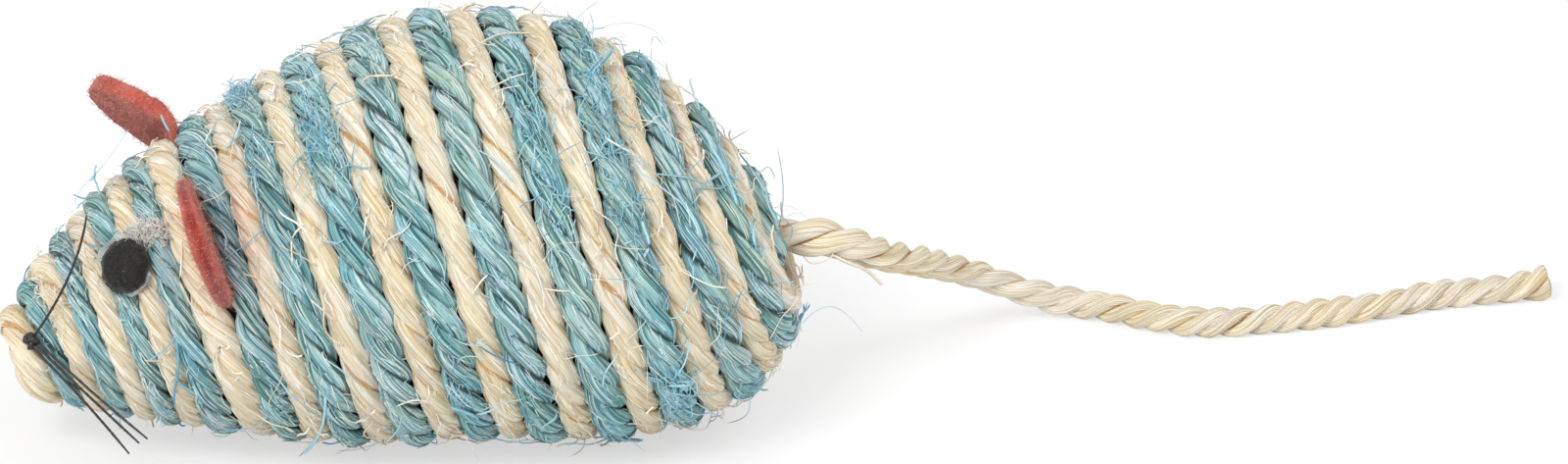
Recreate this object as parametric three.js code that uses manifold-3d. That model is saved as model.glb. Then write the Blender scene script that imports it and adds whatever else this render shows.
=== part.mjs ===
// Catnip mouse: a hollow two-part core filled with dried catnip, wound with one natural and
// one blue sisal rope, with felt ears and eyes, thread whiskers and a rope tail.
// Millimetres, +Z up, nose towards -X, the mouse's left side towards -Y.
import * as THREE from "three";
import { mergeVertices } from "three/addons/utils/BufferGeometryUtils.js";
import Module from "manifold-3d";

const wasm = await Module();
wasm.setup();

// Core: a teardrop of two moulded half shells, nose low, with a sagging rear end
const coreLength = 92.7;
const coreRadius = 24.2;
const shellWall = 1.8;
const clearance = 0.3;
const fillingClearance = 0.45;
const rearSag = 13.2;
const noseDroop = 2.85;
const bodyTilt = THREE.MathUtils.degToRad(12.2);
const rearLean = THREE.MathUtils.degToRad(8);
const bellyShare = 0.686;
const sagStartShare = 0.56;
const droopEndShare = 0.228;
const leanStartShare = 0.785;
const nosePower = 1.65;
const noseOutlinePower = 0.64;
const rearPower = 2.25;
const rearOutlinePower = 0.49;
const sagPower = 1.4;
const leanPower = 1.5;
const droopPower = 1.6;

// Ropes: two sisal ropes laid side by side, turn after turn, from the nose to the tail
const naturalRope = 3.0;
const blueRope = 3.8;
const noseStart = 1.8;
const noseGap = 0.55;
const headGap = 0.3;
const bodyGap = 0.7;
const tailRing = 4.4;
const headThicknessShare = 0.82;
const flatDepthShare = 0.14;
const startAngle = THREE.MathUtils.degToRad(-60);

// Turns of the rope, counted from the nose, at which its spacing changes
const noseTurns = [0.3, 1.3];
const headTurns = [4.3, 6.2];

// Ears: felt tongues pinched between the natural rope and the blue one. Whole turns of rope
// lie before them, and the ropes part for them over a share of a turn
const earTurnCount = 4;
const earWidth = 17.8;
const leftEarReach = 12.9;
const rightEarReach = 12;
const earThickness = 2.2;
const earRootThickness = 1.2;
const earSeat = 0.7;
const earSlotClearance = 0.62;
const earSlotShare = 0.756;
const earSlotTurnShare = 0.62;
const leftEarAngle = THREE.MathUtils.degToRad(53.5);
const rightEarAngle = THREE.MathUtils.degToRad(-40);
const leftEarLean = THREE.MathUtils.degToRad(3.5);
const rightEarLean = THREE.MathUtils.degToRad(45);
const earTipShare = 0.16;
const earRootShare = 0.9;
const earOutlinePower = 0.85;

// Eyes: black felt discs on the rope crests. The right one sits lower, out of the photo's sight
const eyeDiameter = 7;
const eyeThickness = 1.2;
const eyeAlongShare = 0.179;
const eyeRimShare = 0.8;
const leftEyeAngle = THREE.MathUtils.degToRad(49);
const rightEyeAngle = THREE.MathUtils.degToRad(-70);

// Whiskers: stiff black threads from a knot on each side of the nose
const whiskerThread = 0.45;
const knotWidth = 2.4;
const knotHeight = 1.7;
const knotAlongShare = 0.043;
const leftKnotAngle = THREE.MathUtils.degToRad(66);
const rightKnotAngle = THREE.MathUtils.degToRad(-92);
const whiskerLength = 19;
const whiskerGap = 0.35;
const whiskerRowShares = [0.8, 0.6];

// Where each whisker ends, from its knot, as shares of the whisker's length: rearwards,
// outwards and up, then its bow, and its place in the row of the three lower ones
const lowerWhiskerShares = [
  { name: "lower_front", end: [0.605, 0.48, -0.625], bow: 0.02, row: -1 },
  { name: "lower_middle", end: [0.672, 0.48, -0.55], bow: 0.02, row: 0 },
  { name: "lower_rear", end: [0.725, 0.525, -0.5], bow: 0.02, row: 1 },
];
const leftWhiskerShares = [
  { name: "upper", end: [0.37, 0.16, 0.97], bow: 0.12, row: 0 },
  ...lowerWhiskerShares,
];
const rightWhiskerShares = [
  { name: "upper", end: [0.74, 0.63, 0.18], bow: -0.04, row: 0 },
  ...lowerWhiskerShares,
];

// Tail: a rope held in the core's rear wall by a knot inside
const tailRope = 3.3;
const tailKnot = 7;
const tailKnotGap = 1;
const tailHoleClearance = 0.3;
const tailHoleLift = 1;
const tailStubLength = 1.2;
const tailClimb = THREE.MathUtils.degToRad(6);

// The free tail's route: out of its hole, down to the floor and along it
const tailRoute = [
  [46.5, 0.1, 23.8],
  [48.7, 0.1, 24.0],
  [51.1, 0.2, 23.7],
  [53.6, 0.6, 23.0],
  [56.1, 1.2, 22.0],
  [58.6, 2.6, 20.4],
  [61.1, 5.0, 18.3],
  [63.8, 8.2, 16.3],
  [66.7, 11.7, 14.1],
  [69.5, 15.0, 11.9],
  [72.2, 18.1, 9.8],
  [74.9, 20.6, 7.7],
  [77.6, 22.2, 5.9],
  [80.2, 23.1, 4.5],
  [82.8, 23.6, 3.3],
  [85.2, 23.7, 2.3],
  [87.8, 23.4, 1.9],
  [90.2, 22.7, 1.7],
  [92.6, 21.5, 1.7],
  [97.1, 18.7, 1.7],
  [101.9, 16.6, 1.7],
  [106.8, 15.9, 1.7],
  [111.8, 16.3, 1.7],
  [119.4, 17.4, 1.7],
  [126.9, 19.0, 1.7],
  [132.1, 20.7, 1.7],
  [137.2, 21.8, 1.7],
  [142.4, 22.1, 1.7],
  [148.7, 23.3, 1.7],
];

// Counts that set how finely the surfaces are drawn
const coreSides = 24;
const coreRows = 20;
const stepsPerTurn = 24;
const ropeSides = 6;
const whiskerSides = 5;
const whiskerSteps = 5;
const tailSides = 8;
const tableSteps = 2400;

const plastic = new THREE.MeshStandardMaterial({
  color: 0x4b3b2a,
  roughness: 0.45,
  metalness: 0,
});
const catnip = new THREE.MeshStandardMaterial({
  color: 0x6f7a45,
  roughness: 0.95,
  metalness: 0,
});
const naturalSisal = new THREE.MeshStandardMaterial({
  color: 0xe8d3a6,
  roughness: 0.8,
  metalness: 0,
});
const blueSisal = new THREE.MeshStandardMaterial({
  color: 0x5f9bab,
  roughness: 0.75,
  metalness: 0,
});
const redFelt = new THREE.MeshStandardMaterial({
  color: 0xa5483f,
  roughness: 0.95,
  metalness: 0,
});
const blackFelt = new THREE.MeshStandardMaterial({
  color: 0x1e1d1d,
  roughness: 0.95,
  metalness: 0,
});
const blackThread = new THREE.MeshStandardMaterial({
  color: 0x141414,
  roughness: 0.6,
  metalness: 0,
});

// Everything but the tail stands in this group, which is moved onto the floor at the end
const body = new THREE.Group();
const mouse = new THREE.Group();
mouse.add(body);

function addPiece(parent, name, geometry, material) {
  const piece = new THREE.Mesh(geometry, material);
  piece.name = name;
  parent.add(piece);
  return piece;
}

function rampUp(value, low, high) {
  const t = Math.min(1, Math.max(0, (value - low) / (high - low)));
  return t * t * (3 - 2 * t);
}

const sideways = new THREE.Vector3(0, -1, 0);
const rearward = new THREE.Vector3(Math.cos(bodyTilt), 0, Math.sin(bodyTilt));
const upright = new THREE.Vector3(-Math.sin(bodyTilt), 0, Math.cos(bodyTilt));

// The core's profile at an angle from 0 at the nose pole to pi at the tail pole:
// its place along the core and its radius, as shares of the core's length and radius
function profileAt(angle) {
  const c = Math.cos(angle);
  if (angle < Math.PI / 2) {
    return {
      along: bellyShare * (1 - c),
      radius: (1 - c ** nosePower) ** noseOutlinePower,
    };
  }
  return {
    along: bellyShare - (1 - bellyShare) * c,
    radius: (1 - Math.abs(c) ** rearPower) ** rearOutlinePower,
  };
}

// A point of the core's surface, or of a like surface some distance inside it
function corePoint(angle, around, inset = 0) {
  const share = profileAt(angle);
  const along = inset + (coreLength - 2 * inset) * share.along;
  const place = along / coreLength;
  const sag = Math.max(0, (place - sagStartShare) / (1 - sagStartShare)) ** sagPower;
  const droop = Math.max(0, 1 - place / droopEndShare) ** droopPower;
  const lean = Math.max(0, (place - leanStartShare) / (1 - leanStartShare)) ** leanPower;
  const tilt = bodyTilt + rearLean * lean;
  const ringUp = new THREE.Vector3(-Math.sin(tilt), 0, Math.cos(tilt));
  const radius = (coreRadius - inset) * share.radius;
  return new THREE.Vector3()
    .addScaledVector(rearward, along)
    .addScaledVector(upright, -rearSag * sag - noseDroop * droop)
    .addScaledVector(ringUp, radius * Math.cos(around))
    .addScaledVector(sideways, radius * Math.sin(around));
}

function coreNormal(angle, around) {
  const nudge = 1e-4;
  const along = corePoint(Math.min(Math.PI, angle + nudge), around).sub(
    corePoint(Math.max(0, angle - nudge), around),
  );
  const across = corePoint(angle, around + nudge).sub(corePoint(angle, around - nudge));
  return across.cross(along).normalize();
}

// Length along the core's side line, from the nose pole, for evenly spaced profile angles
const sideLengths = [0];
for (let i = 1; i <= tableSteps; i += 1) {
  const before = profileAt((Math.PI * (i - 1)) / tableSteps);
  const here = profileAt((Math.PI * i) / tableSteps);
  const step = Math.hypot(
    coreLength * (here.along - before.along),
    coreRadius * (here.radius - before.radius),
  );
  sideLengths.push(sideLengths[i - 1] + step);
}

function angleAtLength(length) {
  let low = 0;
  let high = tableSteps;
  while (high - low > 1) {
    const middle = (low + high) >> 1;
    if (sideLengths[middle] <= length) low = middle;
    else high = middle;
  }
  const share = (length - sideLengths[low]) / (sideLengths[high] - sideLengths[low]);
  return (Math.PI * (low + share)) / tableSteps;
}

// A closed mesh from rows of points, each row a ring, between two end points
function ringMesh(rings, first, last) {
  const points = [first, ...rings.flat(), last];
  const sides = rings[0].length;
  const index = [];
  const at = (row, side) => 1 + row * sides + (side % sides);
  for (let side = 0; side < sides; side += 1) {
    index.push(0, at(0, side + 1), at(0, side));
    for (let row = 0; row < rings.length - 1; row += 1) {
      index.push(at(row, side), at(row, side + 1), at(row + 1, side));
      index.push(at(row, side + 1), at(row + 1, side + 1), at(row + 1, side));
    }
    index.push(at(rings.length - 1, side), at(rings.length - 1, side + 1), points.length - 1);
  }
  const geometry = new THREE.BufferGeometry().setFromPoints(points);
  geometry.setIndex(index);
  return geometry;
}

function toSolid(geometry) {
  const bare = geometry.clone();
  bare.deleteAttribute("normal");
  bare.deleteAttribute("uv");
  const merged = mergeVertices(bare);
  return new wasm.Manifold(
    new wasm.Mesh({
      numProp: 3,
      vertProperties: new Float32Array(merged.attributes.position.array),
      triVerts: new Uint32Array(merged.index.array),
    }),
  );
}

function toGeometry(solid) {
  const mesh = solid.getMesh();
  const geometry = new THREE.BufferGeometry();
  geometry.setAttribute("position", new THREE.BufferAttribute(mesh.vertProperties, 3));
  geometry.setIndex(new THREE.BufferAttribute(mesh.triVerts, 1));
  return geometry;
}

function coreSolid(inset) {
  const rings = [];
  for (let row = 1; row < coreRows; row += 1) {
    const ring = [];
    for (let side = 0; side < coreSides; side += 1) {
      ring.push(corePoint((Math.PI * row) / coreRows, (2 * Math.PI * side) / coreSides, inset));
    }
    rings.push(ring);
  }
  return toSolid(ringMesh(rings, corePoint(0, 0, inset), corePoint(Math.PI, 0, inset)));
}

// Tail exit: just above the rear pole, with the rope climbing a little as it leaves
const tailExit = corePoint(Math.PI, 0).addScaledVector(upright, tailHoleLift);
const tailWay = new THREE.Vector3(Math.cos(tailClimb), 0, Math.sin(tailClimb));
const knotBack = shellWall + tailKnotGap + tailKnot / 2;
const knotCentre = tailExit.clone().addScaledVector(tailWay, -knotBack);

function tailCylinder(diameter, from, to, sides = 16) {
  const cylinder = new THREE.CylinderGeometry(diameter / 2, diameter / 2, to - from, sides);
  cylinder.rotateZ(-Math.PI / 2);
  cylinder.translate((from + to) / 2, 0, 0);
  cylinder.rotateY(-tailClimb);
  return cylinder.translate(tailExit.x, tailExit.y, tailExit.z);
}

function addCore() {
  const hole = tailCylinder(tailRope + 2 * tailHoleClearance, -3 * shellWall, 3 * shellWall);
  const shell = coreSolid(0).subtract(coreSolid(shellWall)).subtract(toSolid(hole));
  for (const [name, side] of [["core_shell_left", -1], ["core_shell_right", 1]]) {
    const box = new THREE.BoxGeometry(2 * coreLength, 2 * coreRadius, 3 * coreLength);
    box.translate(coreLength / 2, side * (coreRadius + clearance / 2), 0);
    addPiece(body, name, toGeometry(shell.intersect(toSolid(box))), plastic);
  }
}

// Catnip: the dried leaf that fills the core, packed round the tail's knot
function addFilling() {
  const knotRoom = new THREE.SphereGeometry(tailKnot / 2 + fillingClearance, 12, 8);
  knotRoom.translate(knotCentre.x, knotCentre.y, knotCentre.z);
  const stubRoom = tailCylinder(tailRope + 2 * fillingClearance, -knotBack, 3 * shellWall);
  const filling = coreSolid(shellWall + fillingClearance)
    .subtract(toSolid(knotRoom))
    .subtract(toSolid(stubRoom));
  addPiece(body, "catnip_filling", toGeometry(filling), catnip);
}

// Rope thickness at a turn, as a share of its full thickness: it is pulled tighter on the head
function thicknessShare(turn) {
  return headThicknessShare + (1 - headThicknessShare) * rampUp(turn, ...headTurns);
}

function gapAt(turn) {
  return (
    noseGap +
    (headGap - noseGap) * rampUp(turn, ...noseTurns) +
    (bodyGap - headGap) * rampUp(turn, ...headTurns)
  );
}

// The ropes part a little where the ears are pinched between them. Of all the widening, the
// share earSlotShare lies between the two ropes that hold an ear
const earSlotWidening = (earRootThickness + 2 * earSlotClearance - headGap) / earSlotShare;

function earSlotAt(turn) {
  const share = (turn - earTurnCount - 1 / 4) / earSlotTurnShare + 1 / 2;
  if (share <= 0 || share >= 1) return 0;
  return (earSlotWidening * (1 - Math.cos(2 * Math.PI * share))) / earSlotTurnShare;
}

function pitchAt(turn) {
  const pair = (naturalRope + blueRope) * thicknessShare(turn);
  return pair + 2 * gapAt(turn) + earSlotAt(turn);
}

// Places along the core's side line for every small step of the winding
const startTurn = startAngle / (2 * Math.PI);
const windingEnd = sideLengths[tableSteps] - tailRing;
const finePerStep = 8;
const windingPlaces = [noseStart];
while (windingPlaces.at(-1) < windingEnd) {
  const turn = startTurn + (windingPlaces.length - 1 / 2) / (stepsPerTurn * finePerStep);
  windingPlaces.push(windingPlaces.at(-1) + pitchAt(turn) / (stepsPerTurn * finePerStep));
}

function placeAtTurn(turn) {
  const step = (turn - startTurn) * stepsPerTurn * finePerStep;
  const low = Math.min(windingPlaces.length - 2, Math.max(0, Math.floor(step)));
  return windingPlaces[low] + (windingPlaces[low + 1] - windingPlaces[low]) * (step - low);
}

// A rope's centre line. The blue rope lies half a turn's spacing behind the natural one.
function ropeCentres(diameter, behind) {
  const lastStep = Math.floor((windingPlaces.length - 1) / finePerStep);
  const centres = [];
  for (let step = Math.round(behind * stepsPerTurn); step <= lastStep; step += 1) {
    const turn = startTurn + step / stepsPerTurn;
    const around = 2 * Math.PI * (turn - behind);
    const angle = angleAtLength(placeAtTurn(turn));
    const normal = coreNormal(angle, around);
    const radius = (diameter * thicknessShare(turn)) / 2;
    const centre = corePoint(angle, around).addScaledVector(normal, clearance + radius);
    centres.push({ centre, normal, radius });
  }
  return straightEnds(centres);
}

// Each end runs straight for one rope diameter
function straightEnds(centres) {
  const trimmed = [...centres];
  const tooNear = (a, b) => a.centre.distanceTo(b.centre) < 2 * a.radius;
  while (tooNear(trimmed[0], trimmed[1])) trimmed.splice(1, 1);
  while (tooNear(trimmed.at(-1), trimmed.at(-2))) trimmed.splice(-2, 1);
  return trimmed;
}

function ropeTube(centres) {
  const rings = centres.map(({ centre, normal, radius }, i) => {
    const before = centres[Math.max(0, i - 1)].centre;
    const after = centres[Math.min(centres.length - 1, i + 1)].centre;
    const ahead = after.clone().sub(before).normalize();
    const side = ahead.clone().cross(normal).normalize();
    const out = side.clone().cross(ahead);
    return Array.from({ length: ropeSides }, (_, k) => {
      const turn = (2 * Math.PI * (k + 1 / 2)) / ropeSides;
      return centre
        .clone()
        .addScaledVector(out, radius * Math.cos(turn))
        .addScaledVector(side, radius * Math.sin(turn));
    });
  });
  return ringMesh(rings, centres[0].centre, centres.at(-1).centre);
}

// The least gap between points of one centre line that lie over a few diameters apart along it
function leastGapToItself(centres) {
  let least = Infinity;
  centres.forEach((a, i) => {
    let along = 0;
    for (let j = i + 1; j < centres.length; j += 1) {
      along += centres[j].centre.distanceTo(centres[j - 1].centre);
      if (along < 5 * (a.radius + centres[j].radius)) continue;
      const gap = a.centre.distanceTo(centres[j].centre) - a.radius - centres[j].radius;
      least = Math.min(least, gap);
    }
  });
  return least;
}

// The windings rest on the floor: both are cut flat where the belly meets it
function addWindings() {
  const natural = ropeCentres(naturalRope, 0);
  const blue = ropeCentres(blueRope, 1 / 2);
  const tubes = [ropeTube(natural), ropeTube(blue)];
  const lows = tubes.map((tube) => {
    tube.computeBoundingBox();
    return tube.boundingBox.min.z;
  });
  const floor = Math.min(...lows) + blueRope * flatDepthShare;
  const under = new THREE.BoxGeometry(3 * coreLength, 3 * coreLength, coreRadius);
  under.translate(0, 0, floor - coreRadius / 2);
  const [naturalTube, blueTube] = tubes.map((tube) =>
    toGeometry(toSolid(tube).subtract(toSolid(under))),
  );
  addPiece(body, "natural_rope_winding", naturalTube, naturalSisal);
  addPiece(body, "blue_rope_winding", blueTube, blueSisal);
  console.log("natural rope, least gap to itself", leastGapToItself(natural).toFixed(2));
  console.log("blue rope, least gap to itself", leastGapToItself(blue).toFixed(2));
}

// Ears: a bent sheet of felt, built as a grid of points on its front and back
const earColumns = 8;
const earRootRows = 3;
const earTipRows = 7;

function earGeometry(around, lean, reach) {
  const turn = earTurnCount + around / (2 * Math.PI);
  const share = thicknessShare(turn);
  const crest = clearance + blueRope * share;
  const slotAt = (extra) => {
    const naturalEdge = placeAtTurn(turn + extra) + (naturalRope * share) / 2;
    const blueEdge = placeAtTurn(turn + extra + 1 / 2) - (blueRope * share) / 2;
    const angle = angleAtLength((naturalEdge + blueEdge) / 2);
    const place = corePoint(angle, around + extra * 2 * Math.PI);
    return place.addScaledVector(coreNormal(angle, around + extra * 2 * Math.PI), crest / 2);
  };
  const halfTurns = earWidth / 2 / (2 * Math.PI * coreRadius);
  const wide = slotAt(halfTurns).sub(slotAt(-halfTurns)).normalize();
  const ringUp = upright.clone().multiplyScalar(Math.cos(around));
  const out = ringUp.addScaledVector(sideways, Math.sin(around));
  out.addScaledVector(wide, -out.dot(wide)).normalize();
  const front = out.clone().cross(wide).normalize();
  if (front.dot(rearward) > 0) front.negate();
  const root = slotAt(0).addScaledVector(out, -crest / 2);
  const ringRadius = coreRadius * profileAt(angleAtLength(placeAtTurn(turn))).radius;
  const bend = crest + clearance;
  const widest = crest + earSeat;

  const rows = [];
  for (let i = 0; i < earRootRows; i += 1) {
    const t = i / earRootRows;
    const half = (earWidth / 2) * (earRootShare + (1 - earRootShare) * t);
    rows.push({ height: earSeat + (widest - earSeat) * t, half, hollow: 1 - t / 2 });
  }
  for (let i = 0; i <= earTipRows; i += 1) {
    const t = ((Math.PI / 2) * i) / earTipRows;
    const half = (earWidth / 2) * Math.max(earTipShare, Math.cos(t) ** earOutlinePower);
    const height = widest + (crest + reach - widest) * Math.sin(t);
    rows.push({ height, half, hollow: (1 - Math.sin(t)) / 2 });
  }

  const sheets = [1, -1].map((face) =>
    rows.map(({ height, half, hollow }) =>
      Array.from({ length: earColumns + 1 }, (_, column) => {
        const across = half * ((2 * column) / earColumns - 1);
        const drop = hollow * (Math.sqrt(ringRadius ** 2 - across ** 2) - ringRadius);
        const up = height + drop;
        const past = Math.max(0, up - bend);
        const grow = rampUp(up, crest, crest + earThickness);
        const thick = earRootThickness + (earThickness - earRootThickness) * grow;
        const turned = lean * rampUp(past, 0, earThickness);
        return root
          .clone()
          .addScaledVector(wide, across)
          .addScaledVector(out, Math.min(up, bend) + past * Math.cos(lean))
          .addScaledVector(front, past * Math.sin(lean))
          .addScaledVector(front, (face * thick * Math.cos(turned)) / 2)
          .addScaledVector(out, (-face * thick * Math.sin(turned)) / 2);
      }),
    ),
  );
  return sheetMesh(sheets);
}

// A closed mesh from a front and a back grid of points, joined round their edge
function sheetMesh([front, back]) {
  const rows = front.length;
  const columns = front[0].length;
  const points = [...front.flat(), ...back.flat()];
  const at = (sheet, row, column) => (sheet * rows + row) * columns + column;
  const index = [];
  const face = (a, b, c, d) => index.push(a, b, c, a, c, d);
  for (let r = 0; r < rows - 1; r += 1) {
    for (let c = 0; c < columns - 1; c += 1) {
      face(at(0, r, c), at(0, r, c + 1), at(0, r + 1, c + 1), at(0, r + 1, c));
      face(at(1, r, c), at(1, r + 1, c), at(1, r + 1, c + 1), at(1, r, c + 1));
    }
    face(at(0, r, 0), at(0, r + 1, 0), at(1, r + 1, 0), at(1, r, 0));
    const c = columns - 1;
    face(at(0, r, c), at(1, r, c), at(1, r + 1, c), at(0, r + 1, c));
  }
  for (let c = 0; c < columns - 1; c += 1) {
    const r = rows - 1;
    face(at(0, 0, c), at(1, 0, c), at(1, 0, c + 1), at(0, 0, c + 1));
    face(at(0, r, c), at(0, r, c + 1), at(1, r, c + 1), at(1, r, c));
  }
  const geometry = new THREE.BufferGeometry().setFromPoints(points);
  geometry.setIndex(index);
  const solid = toSolid(geometry);
  if (solid.volume() > 0) return geometry;
  for (let i = 0; i < index.length; i += 3) {
    [index[i + 1], index[i + 2]] = [index[i + 2], index[i + 1]];
  }
  return geometry.setIndex(index);
}

function addEars() {
  const left = earGeometry(leftEarAngle, leftEarLean, leftEarReach);
  const right = earGeometry(rightEarAngle, rightEarLean, rightEarReach);
  addPiece(body, "ear_left", left, redFelt);
  addPiece(body, "ear_right", right, redFelt);
}

// A place on the winding's crests, and the way out from it
function crestAt(alongShare, around, rope = blueRope) {
  let angle = 0;
  while (profileAt(angle).along < alongShare) angle += Math.PI / tableSteps;
  const normal = coreNormal(angle, around);
  const crest = clearance + rope * headThicknessShare;
  const place = corePoint(angle, around).addScaledVector(normal, crest + clearance);
  return { place, normal };
}

function addEyes() {
  const r = eyeDiameter / 2;
  const outline = [
    [0, 0],
    [r, 0],
    [r, eyeThickness / 2],
    [r * eyeRimShare, eyeThickness],
    [0, eyeThickness],
  ];
  const points = outline.map(([x, y]) => new THREE.Vector2(x, y));
  for (const [name, around] of [["eye_left", leftEyeAngle], ["eye_right", rightEyeAngle]]) {
    const { place, normal } = crestAt(eyeAlongShare, around);
    const eye = addPiece(body, name, new THREE.LatheGeometry(points, 18), blackFelt);
    eye.position.copy(place);
    eye.quaternion.setFromUnitVectors(new THREE.Vector3(0, 1, 0), normal);
  }
}

// A straight-sided prism section with this many sides, for a thread or a rope
function roundSection(diameter, sides) {
  const section = new THREE.Shape();
  for (let k = 0; k < sides; k += 1) {
    const turn = (2 * Math.PI * k) / sides;
    const x = (diameter / 2) * Math.cos(turn);
    const y = (diameter / 2) * Math.sin(turn);
    if (k === 0) section.moveTo(x, y);
    else section.lineTo(x, y);
  }
  return section;
}

// A whisker starts on the knot's rim and ends at its own place, with a slight bow rearwards
function whiskerGeometry(knotPlace, side, { end, bow, row }) {
  const reach = new THREE.Vector3(end[0], -side * end[1], end[2]).multiplyScalar(whiskerLength);
  const tip = knotPlace.clone().add(reach);
  const way = reach.normalize();
  const along = new THREE.Vector3(whiskerRowShares[0], 0, whiskerRowShares[1]);
  const start = knotPlace
    .clone()
    .addScaledVector(way, knotWidth / 2 + clearance)
    .addScaledVector(along, row * (whiskerThread + whiskerGap));
  const middle = start.clone().lerp(tip, 1 / 2);
  middle.addScaledVector(new THREE.Vector3(1, 0, 0), bow * whiskerLength);
  const extrudePath = new THREE.QuadraticBezierCurve3(start, middle, tip);
  const options = { steps: whiskerSteps, bevelEnabled: false, extrudePath };
  return new THREE.ExtrudeGeometry(roundSection(whiskerThread, whiskerSides), options);
}

function addWhiskers() {
  const sides = [
    ["left", 1, leftKnotAngle, blueRope, leftWhiskerShares],
    ["right", -1, rightKnotAngle, naturalRope, rightWhiskerShares],
  ];
  for (const [sideName, side, around, rope, whiskerShares] of sides) {
    const { place, normal } = crestAt(knotAlongShare, around, rope);
    const centre = place.clone().addScaledVector(normal, knotHeight / 2);
    const ball = new THREE.SphereGeometry(1 / 2, 10, 6);
    ball.scale(knotWidth, knotHeight, knotWidth);
    const knot = addPiece(body, "whisker_knot_" + sideName, ball, blackThread);
    knot.position.copy(centre);
    knot.quaternion.setFromUnitVectors(new THREE.Vector3(0, 1, 0), normal);
    for (const whisker of whiskerShares) {
      const thread = whiskerGeometry(centre, side, whisker);
      addPiece(body, "whisker_" + sideName + "_" + whisker.name, thread, blackThread);
    }
  }
}

// Tail anchor: the knot inside the core and the stub of rope that fills its hole
function addTailAnchor() {
  const knot = new THREE.SphereGeometry(tailKnot / 2, 12, 8);
  knot.translate(knotCentre.x, knotCentre.y, knotCentre.z);
  const stub = tailCylinder(tailRope, -knotBack, tailStubLength, tailSides);
  addPiece(body, "tail_anchor", toGeometry(toSolid(knot).add(toSolid(stub))), naturalSisal);
}

// The free tail, a plain tube along its route
function addTail() {
  const extrudePath = new THREE.CatmullRomCurve3(tailRoute.map((p) => new THREE.Vector3(...p)));
  const length = extrudePath.getLength();
  const steps = Math.ceil(length / (2 * tailRope));
  const options = { steps, bevelEnabled: false, extrudePath };
  const tail = new THREE.ExtrudeGeometry(roundSection(tailRope, tailSides), options);
  addPiece(mouse, "tail_rope", tail, naturalSisal);
  console.log("tail rope, free length", length.toFixed(1));
}

addCore();
addFilling();
addWindings();
addEars();
addEyes();
addWhiskers();
addTailAnchor();
addTail();

// The middle of the body's footprint is the origin, and the belly's flats lie on z = 0
const bounds = new THREE.Box3().setFromObject(body);
body.position.set(
  -(bounds.min.x + bounds.max.x) / 2,
  -(bounds.min.y + bounds.max.y) / 2,
  -bounds.min.z,
);

export default mouse;
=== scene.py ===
import math

import bpy
import numpy as np
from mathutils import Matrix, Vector, noise


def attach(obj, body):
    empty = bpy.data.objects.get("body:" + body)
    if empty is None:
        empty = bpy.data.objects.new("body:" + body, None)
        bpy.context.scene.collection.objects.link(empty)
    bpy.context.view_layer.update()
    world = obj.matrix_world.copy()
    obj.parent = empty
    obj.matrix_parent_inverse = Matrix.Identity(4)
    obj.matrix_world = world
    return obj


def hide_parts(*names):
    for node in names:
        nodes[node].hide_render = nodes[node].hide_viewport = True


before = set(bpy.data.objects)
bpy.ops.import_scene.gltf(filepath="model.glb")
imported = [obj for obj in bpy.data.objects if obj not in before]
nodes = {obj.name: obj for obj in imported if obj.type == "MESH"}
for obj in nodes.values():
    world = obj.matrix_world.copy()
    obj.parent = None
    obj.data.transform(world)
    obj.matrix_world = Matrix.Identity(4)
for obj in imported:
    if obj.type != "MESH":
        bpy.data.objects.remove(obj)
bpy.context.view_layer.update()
bpy.ops.object.select_all(action="DESELECT")


# Camera: a long lens at the photograph's angle, 25 degrees above the floor and a little
# to the nose's side of square, so that the whole toy is in view with its tail.
MM = 0.001
camera_aim = Vector((47.58, -4.55, 26.67)) * MM
camera_way = Vector((0.0914, 0.9017, -0.4226)).normalized()
camera_distance = 2.4
view_width = 197.53 * MM
sensor_width = 36
bpy.ops.object.camera_add(location=camera_aim - camera_way * camera_distance)
camera = bpy.context.object
camera.rotation_euler = camera_way.to_track_quat("-Z", "Y").to_euler()
camera.data.sensor_width = sensor_width
camera.data.lens = sensor_width * camera_distance / view_width
camera.data.clip_start, camera.data.clip_end = 1.0, 20.0
bpy.context.scene.camera = camera


# Core: two moulded half shells of dark plastic, glued along the middle. They hold the
# catnip, and the ropes are glued round them, so only slits of them show.
def paint(red, green, blue):
    """A colour as it looks, in steps of 255, made linear for a shader."""
    steps = [value / 255 for value in (red, green, blue)]
    linear = [v / 12.92 if v <= 0.04045 else ((v + 0.055) / 1.055) ** 2.4 for v in steps]
    return (*linear, 1.0)


def new_finish(name, roughness, specular=0.5):
    """An empty finish: its material, its node tree and its shader."""
    material = bpy.data.materials.new(name)
    material.use_nodes = True
    shader = material.node_tree.nodes["Principled BSDF"]
    shader.inputs["Roughness"].default_value = roughness
    shader.inputs["Specular IOR Level"].default_value = specular
    return material, material.node_tree, shader


def add_node(tree, kind, inputs=(), **settings):
    """A shader node with its settings, and its inputs as numbers or as other nodes' outputs."""
    node = tree.nodes.new(kind)
    for name, value in settings.items():
        setattr(node, name, value)
    for name, value in dict(inputs).items():
        if isinstance(value, bpy.types.NodeSocket):
            tree.links.new(value, node.inputs[name])
        else:
            node.inputs[name].default_value = value
    return node


def add_ramp(tree, source, stops):
    """A colour ramp over a value: stops are pairs of a place and a colour."""
    ramp = tree.nodes.new("ShaderNodeValToRGB")
    while len(ramp.color_ramp.elements) < len(stops):
        ramp.color_ramp.elements.new(0.5)
    for element, (place, colour) in zip(ramp.color_ramp.elements, stops):
        element.position = place
        element.color = colour
    tree.links.new(source, ramp.inputs["Fac"])
    return ramp.outputs["Color"]


def add_math(tree, operation, *values):
    """A sum over numbers and other nodes' outputs."""
    node = add_node(tree, "ShaderNodeMath", dict(enumerate(values)), operation=operation)
    return node.outputs[0]


def add_scaled(tree, vector, scales):
    """A vector with each of its three parts scaled."""
    node = add_node(tree, "ShaderNodeVectorMath", {0: vector, 1: scales}, operation="MULTIPLY")
    return node.outputs[0]


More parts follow.
